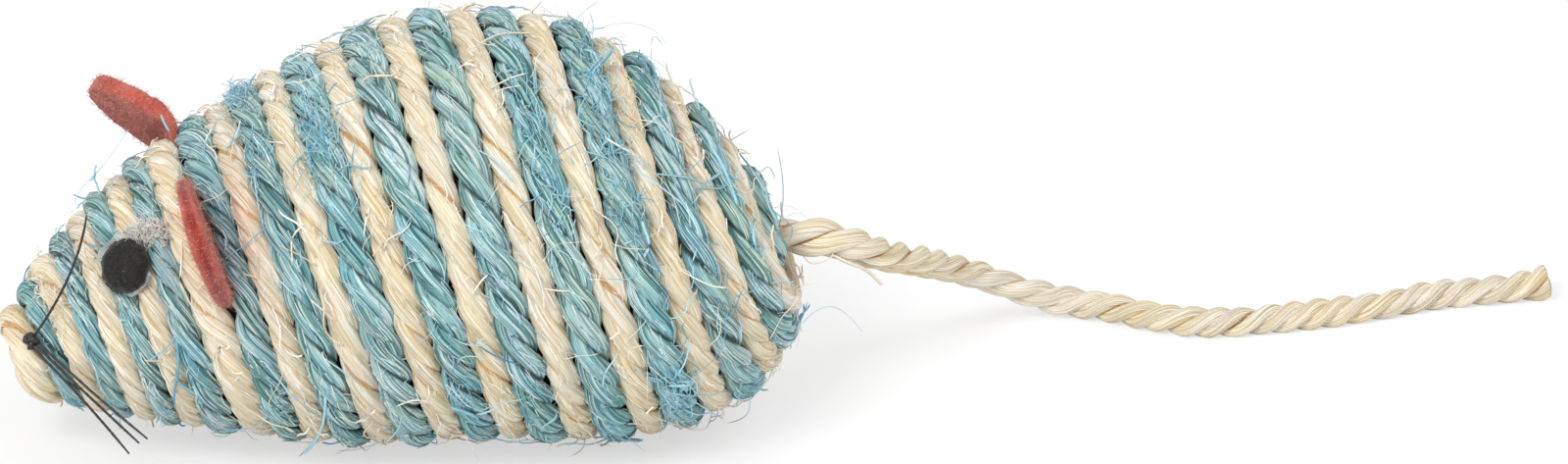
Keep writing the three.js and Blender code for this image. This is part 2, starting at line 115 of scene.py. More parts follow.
def add_texture(tree, kind, **inputs):
    """A texture over the object's own coordinates, with the inputs that it is given."""
    place = add_node(tree, "ShaderNodeTexCoord").outputs["Object"]
    return add_node(tree, "ShaderNodeTex" + kind, {"Vector": place, **inputs})


def set_surface(tree, shader, colour, height, strength, depth):
    """A finish's colour, and its fine relief: how strong, and how deep in metres."""
    bump = add_node(
        tree, "ShaderNodeBump", {"Height": height, "Strength": strength, "Distance": depth}
    )
    tree.links.new(colour, shader.inputs["Base Color"])
    tree.links.new(bump.outputs["Normal"], shader.inputs["Normal"])


def mottled(name, roughness, specular, scales, detail, stops, strength, depth):
    """A finish whose colour and relief follow one noise, scaled along each axis."""
    material, tree, shader = new_finish(name, roughness, specular)
    place = add_node(tree, "ShaderNodeTexCoord").outputs["Object"]
    drawn = {"Vector": add_scaled(tree, place, scales), "Scale": 1, "Detail": detail}
    cloud = add_node(tree, "ShaderNodeTexNoise", drawn).outputs["Fac"]
    set_surface(tree, shader, add_ramp(tree, cloud, stops), cloud, strength, depth)
    return material


def dress(piece, material):
    """Puts one finish on a piece, in place of any that it has."""
    piece.data.materials.clear()
    piece.data.materials.append(material)


core_plastic = mottled(
    "core_plastic", 0.5, 0.5, (260, 260, 260), 4,
    [(0.3, paint(62, 48, 34)), (0.7, paint(88, 70, 48))], 0.3, 0.0002,
)
for name in ("core_shell_left", "core_shell_right"):
    dress(nodes[name], core_plastic)


# Tail: a free length of natural sisal rope, three strands laid left-handed. It is knotted
# inside the rear wall, fluffs up where it leaves it, and its cut end has opened a little.
tail_route = [
    (46.5, 0.1, 23.8), (48.7, 0.1, 24.0), (51.1, 0.2, 23.7), (53.6, 0.6, 23.0),
    (56.1, 1.2, 22.0), (58.6, 2.6, 20.4), (61.1, 5.0, 18.3), (63.8, 8.2, 16.3),
    (66.7, 11.7, 14.1), (69.5, 15.0, 11.9), (72.2, 18.1, 9.8), (74.9, 20.6, 7.7),
    (77.6, 22.2, 5.9), (80.2, 23.1, 4.5), (82.8, 23.6, 3.3), (85.2, 23.7, 2.3),
    (87.8, 23.4, 1.9), (90.2, 22.7, 1.7), (92.6, 21.5, 1.7), (97.1, 18.7, 1.7),
    (101.9, 16.6, 1.7), (106.8, 15.9, 1.7), (111.8, 16.3, 1.7), (119.4, 17.4, 1.7),
    (126.9, 19.0, 1.7), (132.1, 20.7, 1.7), (137.2, 21.8, 1.7), (142.4, 22.1, 1.7),
    (148.7, 23.3, 1.7),
]
tail_diameter, tail_fullness = 3.3, 1.15
tail_lay = 10.0
tail_step = 0.4


def unit(vectors):
    """Vectors brought to length one."""
    return vectors / np.linalg.norm(vectors, axis=-1, keepdims=True)


def smooth(share):
    """A share between 0 and 1, with a soft start and end."""
    return share * share * (3 - 2 * share)


def run_along(line):
    """How far along a line each of its points lies."""
    return np.r_[0, np.cumsum(np.linalg.norm(np.diff(line, axis=0), axis=1))]


def points_at(places, along, line):
    """The points of a line, or other triples on it, at these places along it."""
    return np.stack([np.interp(places, along, line[:, axis]) for axis in range(3)], axis=1)


def ways(line, out):
    """The ways along a line and, square to that and to the way out, beside it."""
    ahead = unit(np.gradient(line, axis=0))
    return ahead, unit(np.cross(ahead, out))


def evenly(points, step):
    """A smooth line through the points, with points of its own at even steps along it."""
    points = np.asarray(points, float)
    chord = run_along(points)
    slope = np.gradient(points, chord, axis=0)
    fine = np.linspace(0, chord[-1], int(chord[-1] / step * 6))
    at = np.clip(np.searchsorted(chord, fine, side="right") - 1, 0, len(chord) - 2)
    span = (chord[at + 1] - chord[at])[:, None]
    t = (fine - chord[at])[:, None] / span
    line = (
        (2 * t**3 - 3 * t**2 + 1) * points[at]
        + (t**3 - 2 * t**2 + t) * span * slope[at]
        + (3 * t**2 - 2 * t**3) * points[at + 1]
        + (t**3 - t**2) * span * slope[at + 1]
    )
    length = run_along(line)
    even = np.linspace(0, length[-1], int(round(length[-1] / step)) + 1)
    return points_at(even, length, line)


def drift(places, period, chance):
    """A smooth wander between -1 and 1 along a rope."""
    knots = chance.uniform(-1, 1, int(places.max() / period) + 4)
    at = places / period
    low = np.floor(at).astype(int)
    t = smooth(at - low)
    return knots[low] * (1 - t) + knots[low + 1] * t


def uneven(share, places, period, chance):
    """A factor near 1 that wanders along a rope by this share."""
    return 1 + share * drift(places, period, chance)


def fibre_relief(across, along, chance):
    """Uneven ridges, long in one direction, between -1 and 1: fibres side by side."""
    size = 256
    field = chance.uniform(-1, 1, (size, size))
    a, b = np.floor(across).astype(int), np.floor(along).astype(int)
    s, t = smooth(across - a), smooth(along - b)
    a, b, next_a, next_b = a % size, b % size, (a + 1) % size, (b + 1) % size
    low = field[a, b] * (1 - s) + field[next_a, b] * s
    high = field[a, next_b] * (1 - s) + field[next_a, next_b] * s
    return low * (1 - t) + high * t


def strand_rings(line, out, wide, tall, lay, strand, look, chance):
    """One of a rope's three strands, as rings of points, with where each point lies on it.

    line and out are the rope's centre line and the way out from what it lies on, wide and
    tall its half widths, all in mm. look holds the strand's own shape: its sides, its size
    and offset as shares of the rope's, its fibres' slant, and how high its ridges stand.
    """
    front_angle, flank_angle = 1.9, 2.3
    spin_wander, spin_period, size_period, offset_period = 0.3, 13, 6, 9
    bundle_width, bundle_length, fibre_width, fibre_length = 1.05, 11, 0.75, 5
    step = np.linalg.norm(np.diff(line, axis=0), axis=1)
    places = np.r_[0, np.cumsum(step)]
    ahead, side = ways(line, out)
    out = np.cross(side, ahead)
    turned = np.r_[0, np.cumsum(2 * np.pi * step / (0.5 * (lay[1:] + lay[:-1])))]
    spin = 2 * np.pi * strand / 3 - turned + spin_wander * drift(places, spin_period, chance)
    front = np.linspace(-front_angle, front_angle, look["sides"] - 3)
    round_strand = np.r_[front, flank_angle, np.pi, 2 * np.pi - flank_angle][None, :]
    size = look["size"] * uneven(look["uneven"], places, size_period, chance)[:, None]
    offset = look["offset"] * uneven(look["uneven"], places, offset_period, chance)[:, None]
    thick = (look["size"] * 0.5 * (wide + tall))[:, None]
    across = thick.mean() * (round_strand - look["slant"] / thick.mean() * places[:, None])
    along = np.repeat(places[:, None], look["sides"], axis=1)
    bundles = fibre_relief(across / bundle_width + 40 * strand, along / bundle_length, chance)
    fibres = fibre_relief(across / fibre_width + 80 * strand, along / fibre_length, chance)
    size = size * (1 + look["bundles"] * bundles + look["fibres"] * fibres)
    x = offset * np.cos(spin)[:, None] + size * np.cos(spin[:, None] + round_strand)
    y = offset * np.sin(spin)[:, None] + size * np.sin(spin[:, None] + round_strand)
    rings = (
        line[:, None]
        + (x * tall[:, None])[..., None] * out[:, None]
        + (y * wide[:, None])[..., None] * side[:, None]
    )
    # How deep each point lies in the crease between strands, which sets where crease shade is
    # painted.
    inner = 0.5 * look["offset"] + np.sqrt(look["size"] ** 2 - 0.75 * look["offset"] ** 2)
    depth = np.clip((1.0 - np.hypot(x, y)) / (1.0 - inner), 0, 1)
    lie = np.stack([across + 60 * strand, along, np.full_like(across, strand)], axis=-1)
    return rings, lie, depth


def tube_quads(rows, sides, closed=False):
    """The four-sided faces of a tube whose points stand ring after ring."""
    steps = rows if closed else rows - 1
    row, side = np.meshgrid(np.arange(steps), np.arange(sides), indexing="ij")
    after, beside = (row + 1) % rows, (side + 1) % sides
    corners = [(row, side), (row, beside), (after, beside), (after, side)]
    return np.stack([a * sides + b for a, b in corners], axis=-1).reshape(-1, 4)


def tube_faces(rows, sides, start):
    """Faces of a closed tube whose points stand ring after ring, then its two end points."""
    rim = np.arange(sides)
    ahead = (rim + 1) % sides
    first, last = rows * sides, rows * sides + 1
    begin = np.stack([np.full(sides, first), ahead, rim], axis=1)
    rim, ahead = last - 1 - sides + rim, last - 1 - sides + ahead
    end = np.stack([np.full(sides, last), rim, ahead], axis=1)
    groups = (tube_quads(rows, sides), begin, end)
    return [face for group in groups for face in (group + start).tolist()]


def new_piece(name, points, faces, **attributes):
    """A smooth mesh piece, its points in mm, with values or vectors kept at its points."""
    mesh = bpy.data.meshes.new(name)
    mesh.from_pydata((points * MM).tolist(), [], faces)
    for key, values in attributes.items():
        kind, field = ("FLOAT", "value") if values.ndim == 1 else ("FLOAT_VECTOR", "vector")
        data = mesh.attributes.new(key, kind, "POINT").data
        data.foreach_set(field, values.astype(np.float32).ravel())
    mesh.shade_smooth()
    piece = bpy.data.objects.new(name, mesh)
    bpy.context.scene.collection.objects.link(piece)
    return piece


def settle(piece, material, node=None):
    """A piece's finish, its body and the CAD node that it stands for."""
    dress(piece, material)
    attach(piece, "root")
    if node:
        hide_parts(node)


def add_strands(name, strands, stain=None):
    """One mesh piece of closed strands, in mm, resting flat on the floor where they reach it.
    A stain is a place and a reach in mm, where dye has run into the fibre."""
    points, faces, fibre, depths = [], [], [], []
    for rings, lie, depth in strands:
        rows, sides = rings.shape[:2]
        faces += tube_faces(rows, sides, sum(len(p) for p in points))
        points.append(np.concatenate([rings.reshape(-1, 3), rings[[0, -1]].mean(axis=1)]))
        fibre.append(np.concatenate([lie.reshape(-1, 3), lie[[0, -1], 0]]))
        depths.append(np.r_[depth.ravel(), 0.5, 0.5])
    points = np.concatenate(points)
    points[:, 2] = np.maximum(points[:, 2], 0)
    values = {"fibre": np.concatenate(fibre), "depth": np.concatenate(depths)}
    if stain is not None:
        away = np.linalg.norm((points - stain[0]) / stain[1], axis=1)
        values["stain"] = np.exp(-(away**2))
    return new_piece(name, points, faces, **values)


def point_value(tree, name, output="Fac"):
    """What a mesh keeps at its points under this name."""
    return add_node(tree, "ShaderNodeAttribute", attribute_name=name).outputs[output]


def add_range(tree, value, low, high, start=0.0, end=1.0):
    """A value between low and high, stretched to lie between start and end."""
    limits = {"From Min": low, "From Max": high, "To Min": start, "To Max": end}
    return add_node(tree, "ShaderNodeMapRange", {"Value": value, **limits}).outputs["Result"]


def add_mix(tree, share, colour, other, blend="MIX"):
    """A share of another colour, mixed into a colour or multiplied over it."""
    node = add_node(
        tree,
        "ShaderNodeMix",
        {"Factor": share, "A": colour, "B": other},
        data_type="RGBA",
        blend_type=blend,
    )
    return node.outputs["Result"]


def sisal(name, gap_shade, shade, body, shine, crease_shade, patch, wash, gap_shade_strength, crease_shade_from, dye):
    """Sisal fibre that follows its strand: hair beside hair, each with its own tint, with painted
    shade between the hairs and in the creases between strands.
    """
    material, tree, shader = new_finish(name, 0.6, 0.3)
    lie = point_value(tree, "fibre", "Vector")

    def clouds(across, along):
        drawn = {"Vector": add_scaled(tree, lie, (across, along, 1)), "Scale": 1, "Detail": 2}
        noise = add_node(tree, "ShaderNodeTexNoise", {**drawn, "Roughness": 0.6})
        return noise.outputs["Fac"]

    drawn = add_scaled(tree, lie, (5.4, 0.1, 1))
    bent = add_node(
        tree, "ShaderNodeVectorMath", {0: drawn, 1: clouds(0.7, 0.2)}, operation="ADD"
    )
    cells = {"Vector": bent.outputs[0], "Scale": 1}
    hair = add_node(tree, "ShaderNodeTexVoronoi", cells, voronoi_dimensions="2D")
    rim = add_node(
        tree, "ShaderNodeTexVoronoi", cells, voronoi_dimensions="2D", feature="DISTANCE_TO_EDGE"
    ).outputs["Distance"]
    tint = add_node(tree, "ShaderNodeSeparateColor", {"Color": hair.outputs["Color"]}).outputs[0]
    tint = add_math(tree, "MULTIPLY_ADD", tint, 0.8, -0.15)
    tint = add_math(tree, "MULTIPLY_ADD", clouds(2, 0.07), 0.5, tint)
    # The lowest tint, the gap colour, is painted shade: dark lines between the hairs.
    colour = add_ramp(tree, tint, [(0.12, gap_shade), (0.3, shade), (0.55, body), (0.85, shine)])
    soaked = add_texture(tree, "Noise", Scale=55, Detail=2).outputs["Fac"]
    for share, layer in (
        (point_value(tree, "stain"), dye),
        (add_range(tree, clouds(0.2, 0.045), 0.42, 0.68), patch),
        (add_range(tree, soaked, 0.46, 0.64), wash),
    ):
        colour = add_mix(tree, share, colour, layer, "MULTIPLY")
    # Painted shade between the hairs: near each hair's edge the colour is mixed towards the crease
    # shade colour.
    between = add_range(tree, rim, 0, 0.13, gap_shade_strength, 0)
    # Painted shade: the deeper a point lies in the crease between strands, the more of the crease
    # shade colour it takes.
    sunk = add_range(tree, point_value(tree, "depth"), crease_shade_from, 1, 0, 0.9)
    colour = add_mix(tree, add_math(tree, "MAXIMUM", between, sunk), colour, crease_shade)
    height = add_math(tree, "ADD", tint, add_range(tree, rim, 0, 0.3))
    set_surface(tree, shader, colour, height, 0.9, 0.00011)
    return material


# Natural sisal: its gap colour and its golden crease colour are painted shade, between the hairs
# and in the creases between strands.
natural_sisal = sisal(
    "natural_sisal",
    gap_shade=paint(226, 204, 166),
    shade=paint(240, 228, 202),
    body=paint(247, 239, 220),
    shine=paint(254, 251, 242),
    crease_shade=paint(212, 164, 106),
    patch=paint(252, 246, 232),
    wash=paint(255, 251, 240),
    gap_shade_strength=0.28,
    crease_shade_from=0.91,
    dye=paint(248, 218, 210),
)

tail_line = evenly(tail_route, tail_step)
tail_places = np.arange(len(tail_line)) * tail_step
tail_end = tail_places[-1]
fluff = np.interp(
    tail_places,
    [0, 2.5, 5.5, 9, 14, 28, 40, tail_end - 5, tail_end - 1.5, tail_end],
    [1.2, 1.3, 1.4, 1.2, 1.12, 1.08, 1.0, 1.0, 1.14, 1.2],
)
tail_half = 0.5 * tail_fullness * tail_diameter * fluff
tail_half = tail_half * uneven(0.05, tail_places, 5, np.random.default_rng(3))
tail_out = np.tile([0.0, 0.0, 1.0], (len(tail_line), 1))
tail_lays = np.interp(tail_places, [0, 12, 44, 56], [17.0, 15.5, 15.0, tail_lay])
tail_look = {
    "sides": 24, "size": 0.56, "offset": 0.44, "uneven": 0.07, "slant": 0.45, "bundles": 0.07,
    "fibres": 0.03,
}
tail = add_strands(
    "tail",
    [
        strand_rings(
            tail_line, tail_out, tail_half, tail_half, tail_lays, strand, tail_look,
            np.random.default_rng(11 + strand),
        )
        for strand in range(3)
    ],
)
settle(tail, natural_sisal, "tail_rope")


# Tail anchor: the rope's own end, knotted inside the core so that it can't pull out, and the
# short stub that fills the hole in the rear wall.
plain_sisal = mottled(
    "plain_sisal", 0.6, 0.3, (150, 3000, 3000), 4,
    [(0.3, paint(214, 188, 142)), (0.7, paint(248, 240, 220))], 0.6, 0.0001,
)
dress(nodes["tail_anchor"], plain_sisal)


# Catnip: dried leaf, rubbed small and packed into the core before its halves are glued. It
# shows only where the core is opened.
catnip_leaf, tree, shader = new_finish("catnip_leaf", 0.95, 0.2)
flakes = add_texture(tree, "Voronoi", Scale=900)
leaf_tones = [(0.2, paint(70, 76, 38)), (0.5, paint(112, 118, 66)), (0.8, paint(150, 146, 96))]
leaf = add_ramp(tree, flakes.outputs["Color"], leaf_tones)
set_surface(tree, shader, leaf, flakes.outputs["Distance"], 0.8, 0.0005)
dress(nodes["catnip_filling"], catnip_leaf)


# Ropes: a natural and a blue sisal rope, wound side by side round the core from the nose
# to the tail and glued down. Their lowest turns are pressed flat where the toy lies.
core_length, core_radius = 92.7, 24.2
rear_sag, nose_droop = 13.2, 2.85
body_tilt, rear_lean = math.radians(12.2), math.radians(8)
belly_share, sag_start, droop_end, lean_start = 0.686, 0.56, 0.228, 0.785
nose_power, nose_outline_power, rear_power, rear_outline_power = 1.65, 0.64, 2.25, 0.49
sag_power, droop_power, lean_power = 1.4, 1.6, 1.5
natural_rope, blue_rope, glue_gap = 3.0, 3.8, 0.3
nose_start, nose_gap, head_gap, body_gap, tail_ring = 1.8, 0.55, 0.3, 0.7, 4.4
head_thickness, nose_turns, neck_turns = 0.82, (0.3, 1.3), (4.3, 6.2)
ear_root, ear_slack, ear_slot_share, ear_slot_turns, ear_turn = 1.2, 0.62, 0.756, 0.62, 4
ear_width, ear_gap = 17.8, 1.55
ear_angles = {"left": math.radians(53.5), "right": math.radians(-40)}
start_turn, between_ropes = -60 / 360, 0.25
body_shift = np.array([-48.235, 0.115, 15.930])
rope_step = 0.62
rope_lay = 14.7

sideways = np.array([0.0, -1.0, 0.0])
rearward = np.array([math.cos(body_tilt), 0.0, math.sin(body_tilt)])
upright = np.array([-math.sin(body_tilt), 0.0, math.cos(body_tilt)])


def core_profile(angle):
    """The core's place along and its radius, as shares, from the nose pole at 0 to pi."""
    c = np.cos(angle)
    front = angle < np.pi / 2
    along = belly_share - np.where(front, belly_share * c, (1 - belly_share) * c)
    fore, rear = np.clip(c, 0, 1) ** nose_power, np.clip(-c, 0, 1) ** rear_power
    radius = np.where(front, (1 - fore) ** nose_outline_power, (1 - rear) ** rear_outline_power)
    return along, radius


def core_point(angle, around):
    """A point of the core's surface, in mm."""
    along, radius = core_profile(angle)
    sag = np.maximum(0, (along - sag_start) / (1 - sag_start)) ** sag_power
    droop = np.maximum(0, 1 - along / droop_end) ** droop_power
    lean = np.maximum(0, (along - lean_start) / (1 - lean_start)) ** lean_power
    tilt = body_tilt + rear_lean * lean
    ring_up = np.stack([-np.sin(tilt), np.zeros_like(tilt), np.cos(tilt)], axis=-1)
    return (
        body_shift
        + (core_length * along)[..., None] * rearward
        - (rear_sag * sag + nose_droop * droop)[..., None] * upright
        + (core_radius * radius * np.cos(around))[..., None] * ring_up
        + (core_radius * radius * np.sin(around))[..., None] * sideways
    )


def core_normal(angle, around):
    """The way out of the core there."""
    nudge = 1e-4
    ahead = core_point(np.minimum(np.pi, angle + nudge), around) - core_point(
        np.maximum(0, angle - nudge), around
    )
    across = core_point(angle, around + nudge) - core_point(angle, around - nudge)
    return unit(np.cross(across, ahead))


def ease(value, low, high):
    """From 0 at low to 1 at high, smoothly."""
    return smooth(np.clip((value - low) / (high - low), 0, 1))


def thickness_share(turn):
    """The ropes are pulled thinner on the head."""
    return head_thickness + (1 - head_thickness) * ease(turn, *neck_turns)


profile_angles = np.linspace(0, np.pi, 2401)
profile_along, profile_radius = core_profile(profile_angles)
side_lengths = np.r_[
    0,
    np.cumsum(
        np.hypot(core_length * np.diff(profile_along), core_radius * np.diff(profile_radius))
    ),
]
turn_steps = 192
middles = start_turn + (np.arange(20 * turn_steps) + 0.5) * (1 / turn_steps)
slot_place = np.clip((middles - ear_turn - between_ropes) / ear_slot_turns + 0.5, 0, 1)
slot_widening = (ear_root + 2 * ear_slack - head_gap) / ear_slot_share
gaps = nose_gap + (head_gap - nose_gap) * ease(middles, *nose_turns)
gaps = gaps + (body_gap - head_gap) * ease(middles, *neck_turns)
pitch = (natural_rope + blue_rope) * thickness_share(middles) + 2 * gaps
pitch = pitch + slot_widening * (1 - np.cos(2 * np.pi * slot_place)) / ear_slot_turns
winding_places = nose_start + np.r_[0, np.cumsum(pitch * (1 / turn_steps))]
winding_turns = start_turn + np.arange(len(winding_places)) * (1 / turn_steps)
last_turn = np.interp(side_lengths[-1] - tail_ring, winding_places, winding_turns)


def rope_radius(diameter, turn):
    """A rope's own radius at a turn, in mm, before it is pressed wider."""
    return 0.5 * diameter * thickness_share(turn)


def place_at(turn):
    """How far from the nose, along the core's side in mm, the winding is at a turn."""
    return np.interp(turn, winding_turns, winding_places)


def ear_room(natural_turn):
    """Room that the ears' roots need beside the natural rope, in mm."""
    half, fade = ear_width / 2 / (2 * np.pi * core_radius), 0.035
    room = np.zeros_like(natural_turn)
    for ear_angle in ear_angles.values():
        away = np.abs(natural_turn - ear_turn - ear_angle / (2 * np.pi))
        room = np.maximum(room, ear_gap * (1 - ease(away, half, half + fade)))
    return room


def rope_room(diameter, turn):
    """How hard a rope pushes for room: the natural one lies flatter, most of all on the head."""
    body_flatness, more_on_head = 1.08, 0.35
    flatness = 1.0
    if diameter == natural_rope:
        flatness = body_flatness + more_on_head * (1 - ease(turn, *neck_turns))
    return flatness * rope_radius(diameter, turn)


def rope_course(diameter, other, behind):
    """A rope's centre line, the way out from the core, its half width and its turns, at even
    steps. The rope spreads until it meets the other rope on both sides."""
    least_spread, most_spread, course_step = 0.8, 2.1, 1 / 400
    turns = np.arange(start_turn + behind, last_turn, course_step)
    angle = np.interp(place_at(turns), side_lengths, profile_angles)
    around = 2 * np.pi * (turns - behind)
    out = core_normal(angle, around)
    radius = rope_radius(diameter, turns)
    rear = place_at(turns + 0.5) - place_at(turns)
    fore = place_at(turns) - place_at(turns - 0.5)
    if behind:
        fore = fore - ear_room(turns - 0.5)
    else:
        rear = rear - ear_room(turns)
    push = rope_room(diameter, turns)
    rear = rear * push / (push + rope_room(other, turns + 0.5))
    fore = fore * push / (push + rope_room(other, turns - 0.5))
    rear = np.clip(rear, least_spread * radius, most_spread * radius)
    fore = np.clip(fore, least_spread * radius, most_spread * radius)
    line = core_point(angle, around) + (glue_gap + radius)[:, None] * out
    line = line - (0.5 * (rear - fore))[:, None] * ways(line, out)[1]
    length = run_along(line)
    even = np.linspace(0, length[-1], int(length[-1] / rope_step))
    line, out = points_at(even, length, line), unit(points_at(even, length, out))
    half = np.interp(even, length, 0.5 * (rear + fore))
    return line, out, half, np.interp(even, length, turns)


def add_rope(kind, diameter, other, behind, heighten, look, material, seed):
    """A wound rope as three strands, one piece each, with what its loose fibres lie on."""
    nose_swell_wide, nose_swell_tall, nose_shift = 0.42, 0.36, np.array([-1.2, 0.0, -0.4])
    end_length, end_share, fullness, swell_turns = 2.5, 0.55, 1.1, (0.5, 1.2)
    line, out, half, turns = rope_course(diameter, other, behind)
    places = np.arange(len(line)) * rope_step
    chance = np.random.default_rng(seed)
    ends = np.clip(np.minimum(places, places[-1] - places) / end_length, 0, 1)
    taper = end_share + (1 - end_share) * np.sqrt(ends)
    wide = half * fullness * taper * uneven(0.06, places, 9, chance)
    tall = rope_radius(diameter, turns) * heighten * taper * uneven(0.05, places, 8, chance)
    nose = 1 - ease(turns, *swell_turns) if diameter == natural_rope else np.zeros(len(turns))
    wide, tall = wide * (1 + nose_swell_wide * nose), tall * (1 + nose_swell_tall * nose)
    line = line + nose[:, None] * nose_shift
    lay = rope_lay * thickness_share(turns) * uneven(0.1, places, 26, chance)
    strands = []
    for strand in range(3):
        course = strand_rings(
            line, out, wide, tall, lay, strand, look, np.random.default_rng(seed + 5 + strand)
        )
        strands.append(course[0])
        name = f"{kind}_rope_strand_{strand + 1}"
        piece = add_strands(name, [course], stain=dye_stain)
        settle(piece, material, f"{kind}_rope_winding")
    return {
        "course": (line, out, wide, tall, turns),
        "strands": np.stack(strands),
        "behind": behind,
        "slot": f"{kind}_sisal",
    }


# Blue sisal: its gap colour and its dark crease colour are painted shade, between the hairs and in
# the creases between strands.
blue_sisal = sisal(
    "blue_sisal",
    gap_shade=paint(66, 108, 112),
    shade=paint(129, 179, 185),
    body=paint(182, 223, 228),
    shine=paint(226, 242, 240),
    crease_shade=paint(48, 72, 72),
    patch=paint(236, 236, 214),
    wash=paint(210, 241, 255),
    gap_shade_strength=0.75,
    crease_shade_from=0.72,
    dye=paint(236, 222, 236),
)
dye_stain = (np.array([-22.9, -13.6, 33.1]), np.array([3.6, 6.0, 7.5]))
ropes = {
    "natural": add_rope(
        "natural", natural_rope, blue_rope, 0, 1.24,
        {"sides": 28, "size": 0.68, "offset": 0.33, "uneven": 0.07, "slant": 0.44,
         "bundles": 0.045, "fibres": 0.015},
        natural_sisal, 21,
    ),
    "blue": add_rope(
        "blue", blue_rope, natural_rope, 0.5, 1.0,
        {"sides": 28, "size": 0.6, "offset": 0.42, "uneven": 0.08, "slant": 0.5,
         "bundles": 0.08, "fibres": 0.03},
        blue_sisal, 41,
    ),
}


# Ears: two tongues of brick red wool felt, pinched between the ropes before they are glued.
# Faces and cut edges are fuzzy, and the middle of the left ear's cut edge is painted darker.
def face_outward(piece, weld=False):
    """Turns a piece's faces outward, and joins its doubled points where it is welded."""
    bpy.ops.object.select_all(action="DESELECT")
    piece.select_set(True)
    bpy.context.view_layer.objects.active = piece
    bpy.ops.object.mode_set(mode="EDIT")
    bpy.ops.mesh.select_all(action="SELECT")
    if weld:
        bpy.ops.mesh.remove_doubles(threshold=1e-5)
    bpy.ops.mesh.normals_make_consistent(inside=False)
    bpy.ops.object.mode_set(mode="OBJECT")


def mesh_points(piece):
    """A piece's points and their normals, in mm."""
    points, normals = (np.empty(3 * len(piece.data.vertices)) for _ in range(2))
    piece.data.vertices.foreach_get("co", points)
    piece.data.vertices.foreach_get("normal", normals)
    return points.reshape(-1, 3) / MM, normals.reshape(-1, 3)


def lumps(points, size, seed):
    """Soft lumps of felt, between -1 and 1, of about this size in mm."""
    return np.array([noise.noise(Vector(p / size + seed)) for p in points])


def lumpy(points, swells, swell_seed, grain, grain_seed):
    """How far felt stands out at its points: swells and grain, each a height and a size."""
    return (
        swells[0] * lumps(points, swells[1], swell_seed)
        + grain[0] * lumps(points, grain[1], grain_seed)
    )[:, None]


def hair_lines(base, way, out, length, lift, wander, count, chance):
    """Loose fibres in mm: each starts at base along its way, rises from the surface and bends."""
    fall, waves = 1.9, 5
    steps = np.linspace(0, 1, count)
    turn = chance.normal(0, 1, (len(base), 3)) * wander
    bend = chance.normal(0, 1, (len(base), 3)) * wander
    lines = [base]
    for step in steps[1:]:
        go = way + out * (lift * (1 - fall * step))[:, None] + turn * step
        go = go + bend * np.sin(waves * step)
        lines.append(lines[-1] + unit(go) * (length / (count - 1))[:, None])
    return np.stack(lines, axis=1)


def add_hairs(name, lines, thick, tints, material):
    """One mesh piece of thin three-sided fibres, closed at the root and pointed at the tip."""
    least_height, sides = 0.03, 3
    count, steps = lines.shape[:2]
    lines = lines.copy()
    lines[..., 2] = np.maximum(lines[..., 2], least_height)
    ahead = unit(np.gradient(lines, axis=1) + 1e-9)
    side = unit(np.cross(ahead, np.array([0.31, 0.52, 0.79])))
    up = np.cross(side, ahead)
    turns = np.arange(sides) * 2 * np.pi / sides
    rings = lines[:, :-1, None] + 0.5 * thick[:, None, None, None] * (
        np.cos(turns)[:, None] * side[:, :-1, None] - np.sin(turns)[:, None] * up[:, :-1, None]
    )
    points = np.concatenate([rings.reshape(count, -1, 3), lines[:, -1:]], axis=1)
    size = points.shape[1]
    last = sides * (steps - 2)
    tips = [(last + k, last + (k + 1) % sides, size - 1) for k in range(sides)]
    starts = (np.arange(count) * size)[:, None, None]
    faces = (tube_quads(steps - 1, sides)[None] + starts).reshape(-1, 4).tolist()
    faces += (np.array(tips + [(2, 1, 0)])[None] + starts).reshape(-1, 3).tolist()
    hairs = new_piece(name, points.reshape(-1, 3), faces, tint=np.repeat(tints, size))
    settle(hairs, material)


def hair_finish(name, dark, light, roughness=0.6):
    """Loose fibre, each of its own tint between a dark and a light one."""
    material, tree, shader = new_finish(name, roughness, 0.3)
    along = add_texture(tree, "Noise", Scale=900).outputs["Fac"]
    tint = add_math(tree, "MULTIPLY_ADD", along, 0.5, point_value(tree, "tint"))
    colour = add_ramp(tree, tint, [(0.2, dark), (1.2 / 1.3, light)])
    tree.links.new(colour, shader.inputs["Base Color"])
    return material


def start_felt(name, voxel, rounds):
    """A felt piece after a plain solid, drawn finer and rounded. With it come its points,
    their normals, and the way that it faces, in which it is thinnest."""
    piece = bpy.data.objects.new("felt_" + name, nodes[name].data.copy())
    bpy.context.scene.collection.objects.link(piece)
    face_outward(piece, weld=True)
    finer = piece.modifiers.new("finer", "REMESH")
    finer.mode, finer.voxel_size = "VOXEL", voxel * MM
    rounded = piece.modifiers.new("rounded", "SMOOTH")
    rounded.factor, rounded.iterations = 0.5, rounds
    for modifier in ("finer", "rounded"):
        bpy.ops.object.modifier_apply(modifier=modifier)
    piece.data.shade_smooth()
    points, normals = mesh_points(piece)
    spread = np.linalg.eigh(np.cov((points - points.mean(0)).T))[1]
    return piece, points, normals, spread[:, 0]


def end_felt(name, piece, points, material, hair, count, longest, thick, seed):
    """Sets a felt piece's points, and lets short fuzz stand out from it all over."""
    lift, wander, spread, shortest, steps = 0.4, 0.7, 0.9, 0.25, 4
    piece.data.vertices.foreach_set("co", (points * MM).ravel())
    piece.data.update()
    settle(piece, material, name)
    chance = np.random.default_rng(seed)
    points, normals = mesh_points(piece)
    pick = chance.integers(0, len(points), count)
    way = unit(normals[pick] + chance.normal(0, spread, (count, 3)))
    length = longest * chance.uniform(shortest, 1, count) ** 1.5
    lifts = np.full(count, lift)
    lines = hair_lines(points[pick], way, normals[pick], length, lifts, wander, steps, chance)
    tints = chance.uniform(0, 1, count)
    kind, side = name.split("_")
    add_hairs(f"{kind}_fuzz_{side}", lines, np.full(count, thick), tints, hair)


